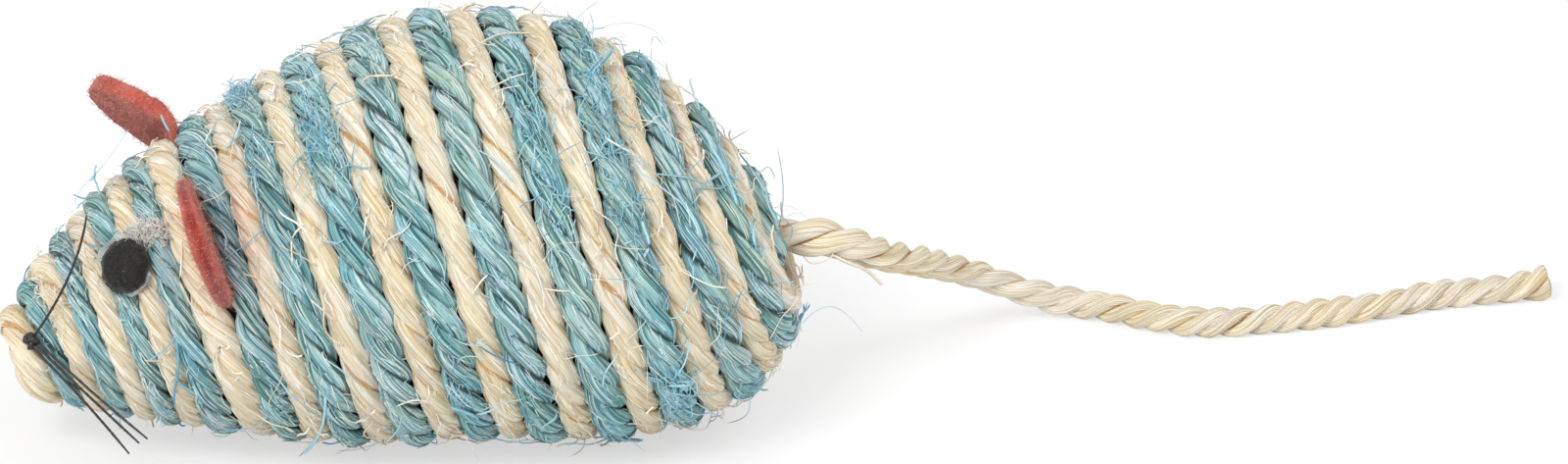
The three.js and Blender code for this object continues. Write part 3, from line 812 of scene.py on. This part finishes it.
def felt(name, dark, body, light, edge_band_colour):
    """Pressed wool felt: tangled short fibres, and a darker band painted along its cut edge."""
    material, tree, shader = new_finish(name, 0.95, 0.12)
    shader.inputs["Sheen Weight"].default_value = 0.25
    shader.inputs["Sheen Roughness"].default_value = 0.6
    tangle = add_texture(tree, "Noise", Scale=1500, Detail=5, Roughness=0.75, Distortion=2.5)
    tangle = tangle.outputs["Fac"]
    worn = add_texture(tree, "Noise", Scale=240).outputs["Fac"]
    tone = add_range(tree, add_math(tree, "MULTIPLY_ADD", worn, 0.5, tangle), 0.5, 1)
    colour = add_ramp(tree, tone, [(0.1, dark), (0.5, body), (0.9, light)])
    colour = add_mix(tree, point_value(tree, "middle"), colour, edge_band_colour)
    set_surface(tree, shader, colour, tangle, 0.8, 0.00015)
    return material


red_felt = felt(
    "red_felt", paint(140, 57, 49), paint(177, 77, 65), paint(200, 113, 93), paint(128, 28, 28)
)
red_fuzz = hair_finish("red_fuzz", paint(164, 65, 55), paint(224, 166, 146), 0.9)
ear_thickness, right_ear_narrowing, left_ear_shortening = 2.2, 0.1, 1.3
edge_normals, band_reach = (0.35, 0.8), (0.2, 0.7)
band_strength, band_lumps, band_grain = 0.85, 0.5, 1.2
ear_swells, ear_grain = (0.16, 3.0), (0.07, 0.7)
for side in ("left", "right"):
    ear, points, normals, way = start_felt(f"ear_{side}", 0.36, 4)
    edge = 1 - ease(np.abs(normals @ way), *edge_normals)
    ear_angle = ear_angles[side]
    height = points @ (upright * math.cos(ear_angle) + sideways * math.sin(ear_angle))
    through = points @ way
    levels = np.arange(height.min(), height.max() + 1)
    middles = [through[np.abs(height - level) < 1].mean() for level in levels]
    from_middle = np.abs(through - np.interp(height, levels, middles)) / (0.5 * ear_thickness)
    # A band along the middle of the cut edge that is painted darker, on the left ear only.
    band = edge * (1 - ease(from_middle, *band_reach))
    band = band * (band_strength + band_lumps * lumps(points, band_grain, 5))
    downward = sideways * math.cos(ear_angle) - upright * math.sin(ear_angle)
    low = (points - points.mean(0)) @ downward
    if side == "right":
        points -= (right_ear_narrowing * low)[:, None] * downward
    else:
        squeeze = np.interp(low, [low.min(), 0, low.max()], [0.66, 1.0, 1.1]) - 1
        points += ((through - np.interp(height, levels, middles)) * squeeze)[:, None] * way
        shortening = left_ear_shortening * np.clip(low / low.max(), 0, 1) ** 2
        points -= shortening[:, None] * downward
    points += normals * lumpy(points, ear_swells, 2, ear_grain, 9)
    band = np.clip(band if side == "left" else 0 * band, 0, 1).astype(np.float32)
    ear.data.attributes.new("middle", "FLOAT", "POINT").data.foreach_set("value", band)
    end_felt(f"ear_{side}", ear, points, red_felt, red_fuzz, 2600, 1.2, 0.05, 61)


# Eyes: discs cut by hand out of black felt and glued on the crests of the ropes. Their rims
# are a little angular, and light dust sits in them.
eye_radius, eye_swells, eye_grain = 3.5, (0.09, 2.2), (0.05, 0.6)
eye_cuts = ((0.022, 5, 0.7), (0.016, 9, 2), (0.012, 14, 0))
black_felt = felt(
    "black_felt", paint(12, 12, 11), paint(23, 22, 20), paint(45, 43, 39), paint(15, 15, 14)
)
tree = black_felt.node_tree
dust = add_texture(tree, "Voronoi", Scale=1100).outputs["Distance"]
bare = tree.nodes["Principled BSDF"].inputs["Base Color"]
dusty = add_mix(
    tree, add_range(tree, dust, 0.1, 0.04), bare.links[0].from_socket, paint(150, 138, 120)
)
tree.links.new(dusty, bare)
black_fuzz = hair_finish("black_fuzz", paint(14, 14, 13), paint(56, 53, 48), 0.9)
eye_places = {}
for side in ("left", "right"):
    eye, points, normals, way = start_felt(f"eye_{side}", 0.17, 3)
    if way @ normals[np.argmax((points - points.mean(0)) @ way)] < 0:
        way = -way
    centre = points.mean(0)
    out_way = way * (1 if way[2] > 0 else -1)
    eye_places[side] = (centre, out_way)
    flat = (points - centre) - ((points - centre) @ way)[:, None] * way
    reach = np.linalg.norm(flat, axis=1)
    first = unit(np.cross(way, np.array([1.0, 0.0, 0.0])))
    turn = np.arctan2(flat @ np.cross(way, first), flat @ first)
    cut = sum(deep * np.cos(waves * turn + start) for deep, waves, start in eye_cuts)
    points += flat * (cut * ease(reach / eye_radius, 0.4, 0.9))[:, None]
    points += normals * lumpy(points, eye_swells, 3, eye_grain, 8)
    end_felt(
        f"eye_{side}", eye, points, black_felt, black_fuzz, 900, 0.8, 0.045, 71
    )


# Whiskers: stiff waxed black thread, drawn through the nose and knotted on each side, one up
# and back and three down and back.
whisker_thread, knot_width, knot_height, whisker_length = 0.45, 2.4, 1.7, 19
whisker_seat, row_spread = 1.2, 1.2
whisker_ends = {
    "lower_front": ((0.605, 0.48, -0.625), 0, -1),
    "lower_middle": ((0.672, 0.48, -0.55), 0, 0),
    "lower_rear": ((0.725, 0.525, -0.5), 0, 1),
}
upper_ends = {"left": ((0.37, 0.16, 0.97), 0.12, 0), "right": ((0.74, 0.63, 0.18), -0.04, 0)}
waxed_thread = mottled(
    "waxed_thread", 0.38, 0.5, (1400, 1400, 1400), 3,
    [(0.35, paint(20, 19, 19)), (0.7, paint(46, 42, 40))], 0.4, 0.00008,
)


def add_thread(name, line, thick, node, closed=False):
    """A waxed thread of two plies, which show as a slow ridge round it. Its ends are closed,
    or it runs back into itself."""
    plies, lay, sides, ridge_share = 2, 1.3, 8, 0.1
    ahead, side = ways(line, np.array([0.2, 0.9, 0.35]))
    up = np.cross(side, ahead)
    turns = np.linspace(0, 2 * np.pi, sides, endpoint=False)[None, :]
    twist = 2 * np.pi / lay * run_along(line)[:, None]
    radius = (0.5 * thick)[:, None] * (1 + ridge_share * np.cos(plies * (turns + twist)))
    rings = line[:, None] - (
        (radius * np.sin(turns))[..., None] * side[:, None]
        - (radius * np.cos(turns))[..., None] * up[:, None]
    )
    points = rings.reshape(-1, 3)
    if closed:
        faces = tube_quads(len(line), sides, closed=True).tolist()
    else:
        points = np.concatenate([points, rings[[0, -1]].mean(axis=1)])
        faces = tube_faces(len(line), sides, 0)
    piece = new_piece(name, points, faces)
    face_outward(piece)
    settle(piece, waxed_thread, node)


knot_share, lower_meeting = 0.043, np.array([0.667, 0.495, -0.558])
knot_reach, knot_depth, knot_thread, knot_steps = 0.27, 0.4, 0.78, 72
whisker_steps, whisker_shares = 48, ([0, 0.85, 1], [0.78, 0.74, 0.5])
row_way = np.array([0.8, 0.0, 0.6])
for side, sign, knot_angle, under in (
    ("left", 1, math.radians(66), blue_rope), ("right", -1, math.radians(-92), natural_rope),
):
    angle = np.array([np.interp(knot_share, profile_along, profile_angles)])
    around = np.array([knot_angle])
    out = core_normal(angle, around)[0]
    crest = glue_gap + under * head_thickness + glue_gap
    knot_place = core_point(angle, around)[0] + out * (crest + 0.5 * knot_height)
    first = unit(np.cross(out, np.array([1.0, 0.0, 0.2])))
    second = np.cross(out, first)
    t = np.linspace(0, 2 * np.pi, knot_steps, endpoint=False)
    knot_line = (
        knot_place
        + knot_reach * (np.sin(t) + 2 * np.sin(2 * t))[:, None] * first
        + knot_reach * (np.cos(t) - 2 * np.cos(2 * t))[:, None] * second
        - knot_depth * np.sin(3 * t)[:, None] * out
    )
    thick = np.full(knot_steps, knot_thread)
    add_thread(f"thread_knot_{side}", knot_line, thick, f"whisker_knot_{side}", closed=True)
    for name, (end, bow, row) in {**whisker_ends, "upper": upper_ends[side]}.items():
        reach = np.array([end[0], -sign * end[1], end[2]]) * whisker_length
        way = unit(reach)
        start = knot_place + way * 0.5 * (knot_width - whisker_seat)
        beside = row * whisker_thread * row_way
        start = start + beside
        tip = knot_place + reach
        middle = 0.5 * (start + tip) + np.array([bow * whisker_length, 0, 0])
        if name != "upper":
            meeting = lower_meeting * np.array([1, -sign, 1])
            middle = knot_place + 0.5 * whisker_length * meeting + row_spread * beside
        t = np.linspace(0, 1, whisker_steps)[:, None]
        line = (1 - t) ** 2 * start + 2 * t * (1 - t) * middle + t**2 * tip
        thick = np.interp(t[:, 0], *whisker_shares) * whisker_thread
        add_thread(f"thread_{side}_{name}", line, thick, f"whisker_{side}_{name}")


# Loose fibres: sisal sheds, so fine hairs stand off both ropes, cross to the next turn and
# stick out all round.
natural_hair = hair_finish("natural_hair", paint(226, 202, 156), paint(254, 250, 240))
blue_hair = hair_finish("blue_hair", paint(86, 146, 176), paint(186, 222, 234))


def nose_share(turn):
    """Loose fibres are shorter on the nose, whose ropes are pulled tight."""
    shortest = 0.45
    return shortest + (1 - shortest) * ease(turn, 2, 5)


def pick_lengths(lengths, power, shape, chance):
    """Lengths between a least and a most, the more of them short the higher the power."""
    return lengths[0] + (lengths[1] - lengths[0]) * chance.uniform(0, 1, shape) ** power


def add_loose(name, lines, thick, spread, material, chance):
    """Fibres of uneven thickness, each with a tint of its own."""
    thick = thick * chance.uniform(*spread, len(lines))
    add_hairs(name, lines, thick, chance.uniform(0, 1, len(lines)), material)


def lying_fibres(kind, count, lengths, thick, material, seed):
    """Fibres that have half come off: each lies on its strand, a little askew to the rest."""
    chance = np.random.default_rng(seed)
    strands = ropes[kind]["strands"]
    rows, sides = strands.shape[1:3]
    steps, lean, lean_spread, rim_share, column_spread = 5, 0.38, 0.14, 0.12, 1.0
    seat, loose_end, columns, shown_arc = 0.02, 0.3, sides - 4, 3.8
    t = np.linspace(0, 1, steps)[None, :]
    strand = chance.integers(0, 3, (count, 1))
    length = pick_lengths(lengths, 2, (count, 1), chance)
    row = chance.uniform(1, rows - 2 - lengths[1] / rope_step, (count, 1)) + length / rope_step * t
    slope = chance.normal(lean, lean_spread, (count, 1)) * columns / shown_arc * rope_step
    column = chance.uniform(rim_share, 1 - rim_share, (count, 1)) * columns
    column = column + slope * length / rope_step * (t - 0.5)
    column = column + chance.normal(0, column_spread, (count, 1)) * t**2
    column = np.clip(column, 0, columns - 0.01)
    low_row, low_column = row.astype(int), column.astype(int)
    a, b = (row - low_row)[..., None], (column - low_column)[..., None]
    near = strands[strand, low_row, low_column] * (1 - b)
    near = near + strands[strand, low_row, low_column + 1] * b
    far = strands[strand, low_row + 1, low_column] * (1 - b)
    far = far + strands[strand, low_row + 1, low_column + 1] * b
    lines = near * (1 - a) + far * a
    out = unit(lines - strands[strand, low_row].mean(axis=2))
    rise = loose_end * chance.uniform(0, 1, (count, 1)) ** 3 * np.abs(2 * t - 1) ** 2
    rise = seat + rise
    lines = lines + rise[..., None] * out
    add_loose(f"{kind}_lying_fibres", lines, thick, (0.6, 1.4), material, chance)


natural_fibre = hair_finish("natural_fibre", paint(214, 186, 140), paint(255, 252, 244))
blue_fibre = hair_finish("blue_fibre", paint(70, 112, 122), paint(236, 246, 244))
lying_fibres("natural", 5200, (2, 7), 0.13, natural_fibre, 77)
lying_fibres("blue", 6500, (2, 8), 0.12, blue_fibre, 78)


def rope_fuzz(name, kind, count, lengths, lift, spread, thick, material, seed):
    """Loose fibres over a whole winding, on the side of the rope that shows."""
    outermost, seat = 1.15, 0.9
    line, out, wide, tall, turns = ropes[kind]["course"]
    chance = np.random.default_rng(seed)
    ahead = unit(np.gradient(line, axis=0))
    side = np.cross(ahead, out)
    pick = chance.integers(0, len(line), count)
    tilt = chance.uniform(-outermost, outermost, count)
    up = unit(np.cos(tilt)[:, None] * out[pick] + np.sin(tilt)[:, None] * side[pick])
    base = (
        line[pick]
        + (seat * tall[pick] * np.cos(tilt))[:, None] * out[pick]
        + (seat * wide[pick] * np.sin(tilt))[:, None] * side[pick]
    )
    along = ahead[pick] * chance.choice([-1, 1], count)[:, None]
    way = unit(along + chance.normal(0, spread, count)[:, None] * side[pick])
    length = pick_lengths(lengths, 1.8, count, chance)
    length = length * nose_share(turns[pick])
    lifts = lift * chance.uniform(0.3, 1.4, count)
    lines = hair_lines(base, way, up, length, lifts, 0.3, 7, chance)
    add_loose(name, lines, thick, (0.6, 1.5), material, chance)


for kind, size, count, lengths, thick, material, seed in (
    ("natural", "short", 1500, (0.6, 2.4), 0.08, natural_hair, 81),
    ("blue", "short", 1900, (0.6, 2.8), 0.09, blue_hair, 82),
    ("natural", "long", 110, (4, 12), 0.09, natural_hair, 83),
    ("blue", "long", 150, (4, 12), 0.1, blue_hair, 84),
):
    lift, spread = (0.45, 0.6) if size == "short" else (0.35, 1.0)
    name = f"{kind}_{size}_fuzz"
    rope_fuzz(name, kind, count, lengths, lift, spread, thick, material, seed)


def crossing_hairs(name, kind, count, lengths, spread, thick, material, seed):
    """Loose fibres that lie over the crests from one turn to the next, in all directions."""
    chance = np.random.default_rng(seed)
    steps, nose_end, rear_end, crest, seat, lowest_crossing = 9, 1.5, 4, 3.5, 0.03, 1.5
    turning, waving, tip_rise, root_sink, ripple = 0.6, 0.3, 2.2, 0.7, 0.1
    t = np.linspace(0, 1, steps)[None, :]
    length = pick_lengths(lengths, 2.5, (count, 1), chance)
    heading = 0.5 * np.pi + chance.normal(0, spread, (count, 1))
    heading = heading + np.pi * chance.integers(0, 2, (count, 1))
    heading = heading + chance.normal(0, turning, (count, 1)) * t
    heading = heading + chance.normal(0, waving, (count, 1)) * np.sin(7 * t)
    step = length / (steps - 1)
    turn = chance.choice(ropes[kind]["course"][4], (count, 1))
    step = step * nose_share(turn)
    reached = place_at(turn) + np.cumsum(step * np.cos(heading), axis=1)
    place = np.clip(reached, nose_end, side_lengths[-1] - rear_end)
    angle = np.interp(place, side_lengths, profile_angles)
    ring = core_radius * core_profile(angle)[1] + crest
    behind = ropes[kind]["behind"]
    around = 2 * np.pi * (turn - behind) + np.cumsum(step * np.sin(heading) / ring, axis=1)
    rise = chance.uniform(0, 1, (count, 1)) ** 6 * tip_rise
    crests = blue_rope * thickness_share(np.interp(place, winding_places, winding_turns))
    height = glue_gap + crests + seat + rise * t**2 - root_sink * (1 - t) ** 5
    height = height + ripple * np.sin(9 * t + 6 * chance.uniform(0, 1, (count, 1)))
    lines = core_point(angle, around) + height[..., None] * core_normal(angle, around)
    on_body = (reached == place).all(axis=1)
    lines = lines[(lines[..., 2].min(axis=1) > lowest_crossing) & on_body]
    add_loose(name, lines, thick, (0.4, 1.4), material, chance)


crossing_hairs(
    "natural_crossing_hairs", "natural", 420, (1.8, 9), 0.75, 0.2, natural_hair, 91
)
crossing_hairs("blue_crossing_hairs", "blue", 460, (1.8, 9), 0.6, 0.2, blue_hair, 92)


# Frayed places: here the rope's own fibres have worked loose, in broad ribbons over the
# crests and in thick tufts along the rope.
bright_hair = hair_finish("bright_blue_hair", paint(94, 166, 188), paint(172, 218, 230))
crossing_hairs("blue_ribbon_fibres", "blue", 34, (7, 17), 0.3, 0.4, bright_hair, 93)
crossing_hairs("natural_ribbon_fibres", "natural", 30, (3, 10), 0.6, 0.3, natural_hair, 94)


def fray(name, kind, centre, radius, count, lengths, lift, thick, wander, material, seed):
    """A tuft of loose fibres round a place on the winding, most of them along the rope."""
    chance = np.random.default_rng(seed)
    rim, seat, spread = 0.9, 0.95, 0.5
    line, out, wide, tall, _ = ropes[kind]["course"]
    away = np.linalg.norm(line + out * tall[:, None] - centre, axis=1)
    away = away - away.min()
    near = np.flatnonzero(away < radius)
    weight = np.exp(-2 * (away[near] / radius) ** 2)
    pick = chance.choice(near, count, p=weight / weight.sum())
    ahead = unit(np.gradient(line, axis=0))[pick]
    side = np.cross(ahead, out[pick])
    across = chance.uniform(-rim, rim, count)
    base = line[pick] + (wide[pick] * across)[:, None] * side
    base = base + (tall[pick] * np.sqrt(1 - across**2) * seat)[:, None] * out[pick]
    way = ahead * chance.choice([-1, 1], count)[:, None]
    way = way + side * chance.normal(0, spread, (count, 1))
    length = chance.uniform(lengths[0], lengths[1], count)
    lifts = lift * chance.uniform(0.3, 1.2, count)
    lines = hair_lines(base, unit(way), out[pick], length, lifts, wander, 9, chance)
    add_loose(name, lines, thick, (0.5, 1.5), material, chance)


for kind, spot, *tuft in (
    ("blue", "neck", (-13.2, -12.5, 45.7), 7, 130, (2, 6), 0.35, 0.13, 0.5, bright_hair, 101),
    ("blue", "back", (20.1, -12.8, 46.4), 7, 150, (2, 6), 0.35, 0.15, 0.5, bright_hair, 102),
    ("blue", "flank", (22.3, -20.9, 39.4), 3.6, 120, (1.5, 4.5), 0.4, 0.13, 0.7, bright_hair, 103),
    ("blue", "belly", (30.9, -21.7, 13.8), 4, 46, (3, 8), 0.7, 0.19, 1.1, bright_hair, 104),
    ("blue", "crest", (-19.9, 2.0, 45.7), 6, 90, (2, 5), 0.6, 0.09, 0.7, blue_hair, 105),
    ("blue", "rump", (26.2, 0.7, 50.0), 6, 60, (3, 8), 0.6, 0.08, 0.5, blue_hair, 106),
    ("natural", "nose", (-45.9, -6.0, 24.7), 6, 110, (0.8, 3), 0.7, 0.08, 0.5, natural_hair, 107),
    ("natural", "rump", (32.1, -6.0, 46.7), 5, 160, (0.8, 2.6), 0.7, 0.07, 0.5, natural_hair, 108),
):
    fray(f"{kind}_fray_{spot}", kind, *tuft)


# Single stray fibres, in their own places: hairs, twigs and loops that stand off the ropes,
# each a thickness and then the points of its route, in mm.
stray_routes = {
    "pale_hair_by_ear": (0.12, (-34.2, 6.0, 39.8), (-35.8, 5.3, 37.8), (-37.9, 4.4, 35.4),
        (-40.2, 2.4, 34.0), (-41.4, 1.4, 32.4), (-41.0, -0.6, 32.4)),
    "twig_by_eye": (0.3, (-38.5, 4.2, 35.9), (-38.8, 3.2, 34.5), (-38.6, 1.6, 34.4),
        (-38.4, -0.2, 33.8)),
    "twig_fork": (0.2, (-38.7, 3.6, 35.1), (-39.0, 3.2, 34.6), (-39.5, 2.6, 34.5)),
    "twig_on_ear": (0.32, (-30.2, 5.0, 42.1), (-29.8, 4.2, 41.3), (-29.2, 3.4, 40.4)),
    "rump_loop_upper": (0.3, (30.4, -16.9, 41.2), (34.0, -15.6, 40.0), (37.0, -12.9, 37.8),
        (38.3, -10.2, 37.4), (40.0, -8.4, 36.9), (41.4, -8.0, 35.7)),
    "rump_loop_lower": (0.3, (33.8, -15.5, 38.6), (37.0, -13.3, 37.3), (39.6, -10.0, 35.9),
        (40.5, -8.2, 36.0), (39.8, -8.4, 36.8), (37.8, -10.0, 36.9)),
    "rump_bunch_1": (0.3, (22.4, -8.4, 50.5), (23.6, -6.4, 51.2), (25.2, -3.6, 51.4),
        (26.1, -1.2, 51.6), (25.9, 1.6, 51.2)),
    "rump_bunch_2": (0.3, (22.8, -8.2, 50.3), (23.9, -6.2, 50.9), (25.4, -3.4, 51.1),
        (26.4, -1.0, 51.2), (26.5, 1.4, 50.5)),
    "rump_bunch_3": (0.26, (22.2, -7.8, 50.8), (23.5, -5.8, 51.4), (24.9, -3.2, 51.8),
        (25.6, -1.0, 52.1)),
    "fine_hair_over_rump": (0.07, (24.4, 4.0, 51.8), (27.1, 4.6, 52.2), (30.0, 5.2, 51.8),
        (32.5, 5.0, 50.6), (33.7, 4.6, 49.1)),
    "fine_hair_behind": (0.07, (28.5, 3.2, 48.4), (30.9, 3.0, 48.4), (33.0, 3.4, 46.8),
        (34.5, 3.8, 44.6)),
    "back_cross_1": (0.26, (21.3, -18.8, 45.6), (24.3, -19.3, 44.5), (26.4, -19.6, 41.9),
        (27.1, -20.6, 40.5)),
    "back_cross_2": (0.24, (19.3, -19.6, 45.2), (20.5, -20.2, 43.0), (23.2, -20.9, 41.0),
        (27.0, -20.8, 40.1)),
    "tail_end_strand": (0.55, (54.0, -0.9, 21.6), (56.1, -0.8, 20.3), (57.5, -0.1, 19.4),
        (59.1, 1.5, 17.7), (60.9, 2.5, 15.4)),
    "tail_loop": (0.2, (50.3, -2.6, 22.2), (51.2, -2.7, 21.3), (52.5, -2.4, 21.2),
        (53.8, -1.8, 21.5), (54.2, -1.4, 22.1)),
    "rump_hair_arc": (0.11, (49.7, -5.8, 14.4), (51.3, -5.0, 15.5), (53.7, -3.1, 15.3),
        (56.1, -1.3, 13.1), (58.0, -0.5, 10.4)),
    "tail_hair_root": (0.1, (47.7, -0.8, 26.4), (48.7, -0.5, 27.1), (50.0, -0.4, 27.3),
        (51.2, -0.7, 26.4)),
    "tail_hair_above": (0.09, (46.8, 0.0, 28.0), (48.3, 0.0, 28.2), (49.9, -0.2, 27.6)),
}
for name, (thick, *route) in stray_routes.items():
    kind = "natural" if name.startswith("tail") else "blue"
    pale = "hair" in name
    finish = natural_hair if kind == "natural" else blue_hair if pale else bright_hair
    line, tints = evenly(route, 0.3), np.array([0.9 if pale else 0.45])
    add_hairs(name, line[None], np.array([thick]), tints, finish)


# Glue: clear hot glue that has squeezed out round the eyes and where the tail leaves. It dries
# milky, in thin smears over the fibres.
clear_glue = mottled(
    "clear_glue", 0.35, 0.5, (700, 700, 700), 3,
    [(0.35, paint(188, 196, 198)), (0.65, paint(236, 238, 236))], 0.5, 0.0002,
)
shader = clear_glue.node_tree.nodes["Principled BSDF"]
shader.inputs["Transmission Weight"].default_value = 0.55
shader.inputs["IOR"].default_value = 1.35


def add_smear(name, line, out, wide, tall, seed):
    """A flat smear of glue along a line, thin at its rim and lumpy."""
    chance = np.random.default_rng(seed)
    sides, lump_height, lump_size, thinnest, swelling = 16, 0.12, 0.8, 0.02, 0.25
    line = evenly(line, 0.2)
    side = ways(line, out)[1]
    share = np.linspace(0, 1, len(line))
    swell = np.sqrt(np.clip(np.minimum(share, 1 - share) * 4, thinnest, 1))
    swell = swell * uneven(swelling, share * 10, 1.2, chance)
    turns = np.linspace(0, 2 * np.pi, sides, endpoint=False)
    rings = (
        line[:, None]
        + (0.5 * wide * swell[:, None] * np.sin(turns))[..., None] * side[:, None]
        + (0.5 * tall * swell[:, None] * np.cos(turns))[..., None] * np.array(out)
    )
    rise = lumps(rings.reshape(-1, 3), lump_size, seed).reshape(rings.shape[:2])
    rings = rings + lump_height * rise[..., None] * out
    smear = add_strands(name, [(rings, np.zeros_like(rings), np.zeros(rings.shape[:2]))])
    settle(smear, clear_glue)


for side, (centre, out) in eye_places.items():
    fore = unit(np.array([-1.0, 0, 0]) + out[0] * out)
    above = unit(np.array([0, 0, 1.0]) - out[2] * out)
    for part, first, last, away, sunk, wide, seed in (
        ("front", 5, 100, 4.1, 0.5, 2.3, 7), ("rear", 195, 262, 3.6, 0.85, 1.5, 9),
    ):
        bow = np.radians(np.linspace(first, last, 9))[:, None]
        line = centre + away * (np.cos(bow) * fore + np.sin(bow) * above) - sunk * out
        add_smear(f"eye_glue_{side}_{part}", line, out, wide, 0.7, seed)
root_line = [(46.2, -6.5, 27.8), (46.6, -5.5, 24.8), (46.6, -4.5, 22.0), (46.4, -3.2, 20.4)]
root_out = np.array([0.94, -0.34, 0.0])
add_smear("tail_glue", root_line, root_out, 2.2, 0.8, 12)


# Lint: a grey clump that is caught behind the left eye, with crumbs of leaf in it. Both are
# loose fibres, the crumbs short and thick.
lint = hair_finish("grey_lint", paint(208, 206, 198), paint(249, 248, 244), 0.9)
crumb = hair_finish("brown_crumb", paint(110, 96, 58), paint(186, 160, 116), 0.9)
lint_centre = np.array([-32.6, -11.3, 33.6])
chance = np.random.default_rng(131)
for name, count, thick, lengths, wander, material, slot in (
    ("lint_clump", 340, 0.085, (1.0, 3.0), 1.5, lint, "red_felt"),
    ("lint_crumbs", 18, 0.22, (0.7, 1.8), 0.12, crumb, "catnip"),
):
    out = unit(np.array([-0.35, -0.62, 0.7]))
    base = lint_centre + chance.normal(0, 1, (count, 3)) * [1.2, 0.7, 0.6]
    base = base - ((base - lint_centre) @ out)[:, None] * out * 0.8
    way = unit(chance.normal(0, 1, (count, 3)))
    outs, lifts = np.tile(out, (count, 1)), np.full(count, 0.3)
    lengths = chance.uniform(*lengths, count)
    lines = hair_lines(base, way, outs, lengths, lifts, wander, 9, chance)
    add_loose(name, lines, thick, (0.7, 1.4), material, chance)


# Stage: a plain pale floor and backdrop under soft studio light from the upper left. The
# floor glows a little to the camera, so that it reads as white paper and keeps its shadow.
white = (1, 1, 1, 1)
bpy.ops.mesh.primitive_circle_add(vertices=96, radius=6.0, fill_type="NGON", location=(0, 0, 0))
floor = bpy.context.object
floor.name = "studio_floor"
paper = bpy.data.materials.new("white_paper")
paper.use_nodes = True
tree = paper.node_tree
tree.nodes.clear()
diffuse = add_node(tree, "ShaderNodeBsdfDiffuse", {"Color": (0.93, 0.93, 0.93, 1)})
glow = add_node(tree, "ShaderNodeEmission", {"Color": white, "Strength": 1.0})
seen = add_node(tree, "ShaderNodeLightPath").outputs["Is Camera Ray"]
both = add_node(
    tree,
    "ShaderNodeMixShader",
    {0: add_math(tree, "MULTIPLY", seen, 0.6), 1: diffuse.outputs[0], 2: glow.outputs[0]},
)
sheet_out = add_node(tree, "ShaderNodeOutputMaterial")
tree.links.new(both.outputs[0], sheet_out.inputs["Surface"])
dress(floor, paper)

world = bpy.data.worlds.new("studio")
bpy.context.scene.world = world
world.use_nodes = True
tree = world.node_tree
tree.nodes.clear()
path = add_node(tree, "ShaderNodeLightPath")
fill = add_node(tree, "ShaderNodeBackground", {"Color": white, "Strength": 0.7})
plain = add_node(tree, "ShaderNodeBackground", {"Color": white, "Strength": 1.0})
shown = path.outputs["Is Camera Ray"]
for ray in ("Is Glossy Ray", "Is Transmission Ray"):
    shown = add_math(tree, "MAXIMUM", shown, path.outputs[ray])
sky = add_node(
    tree, "ShaderNodeMixShader", {0: shown, 1: fill.outputs[0], 2: plain.outputs[0]}
)
world_out = add_node(tree, "ShaderNodeOutputWorld")
tree.links.new(sky.outputs[0], world_out.inputs["Surface"])

lamp_aim = Vector((0.01, 0, 0.02))
for name, place, size, power in (
    ("key", (-0.55, -0.75, 0.95), 0.5, 10.0),
    ("rim", (0.7, -0.2, 0.9), 0.6, 2.5),
):
    bpy.ops.object.light_add(type="AREA", location=place)
    lamp = bpy.context.object
    lamp.name = "lamp_" + name
    lamp.data.energy = power
    lamp.data.size = size
    lamp.visible_camera = False
    lamp.rotation_euler = (lamp_aim - Vector(place)).to_track_quat("-Z", "Y").to_euler()

bpy.context.scene.view_settings.view_transform = "Standard"
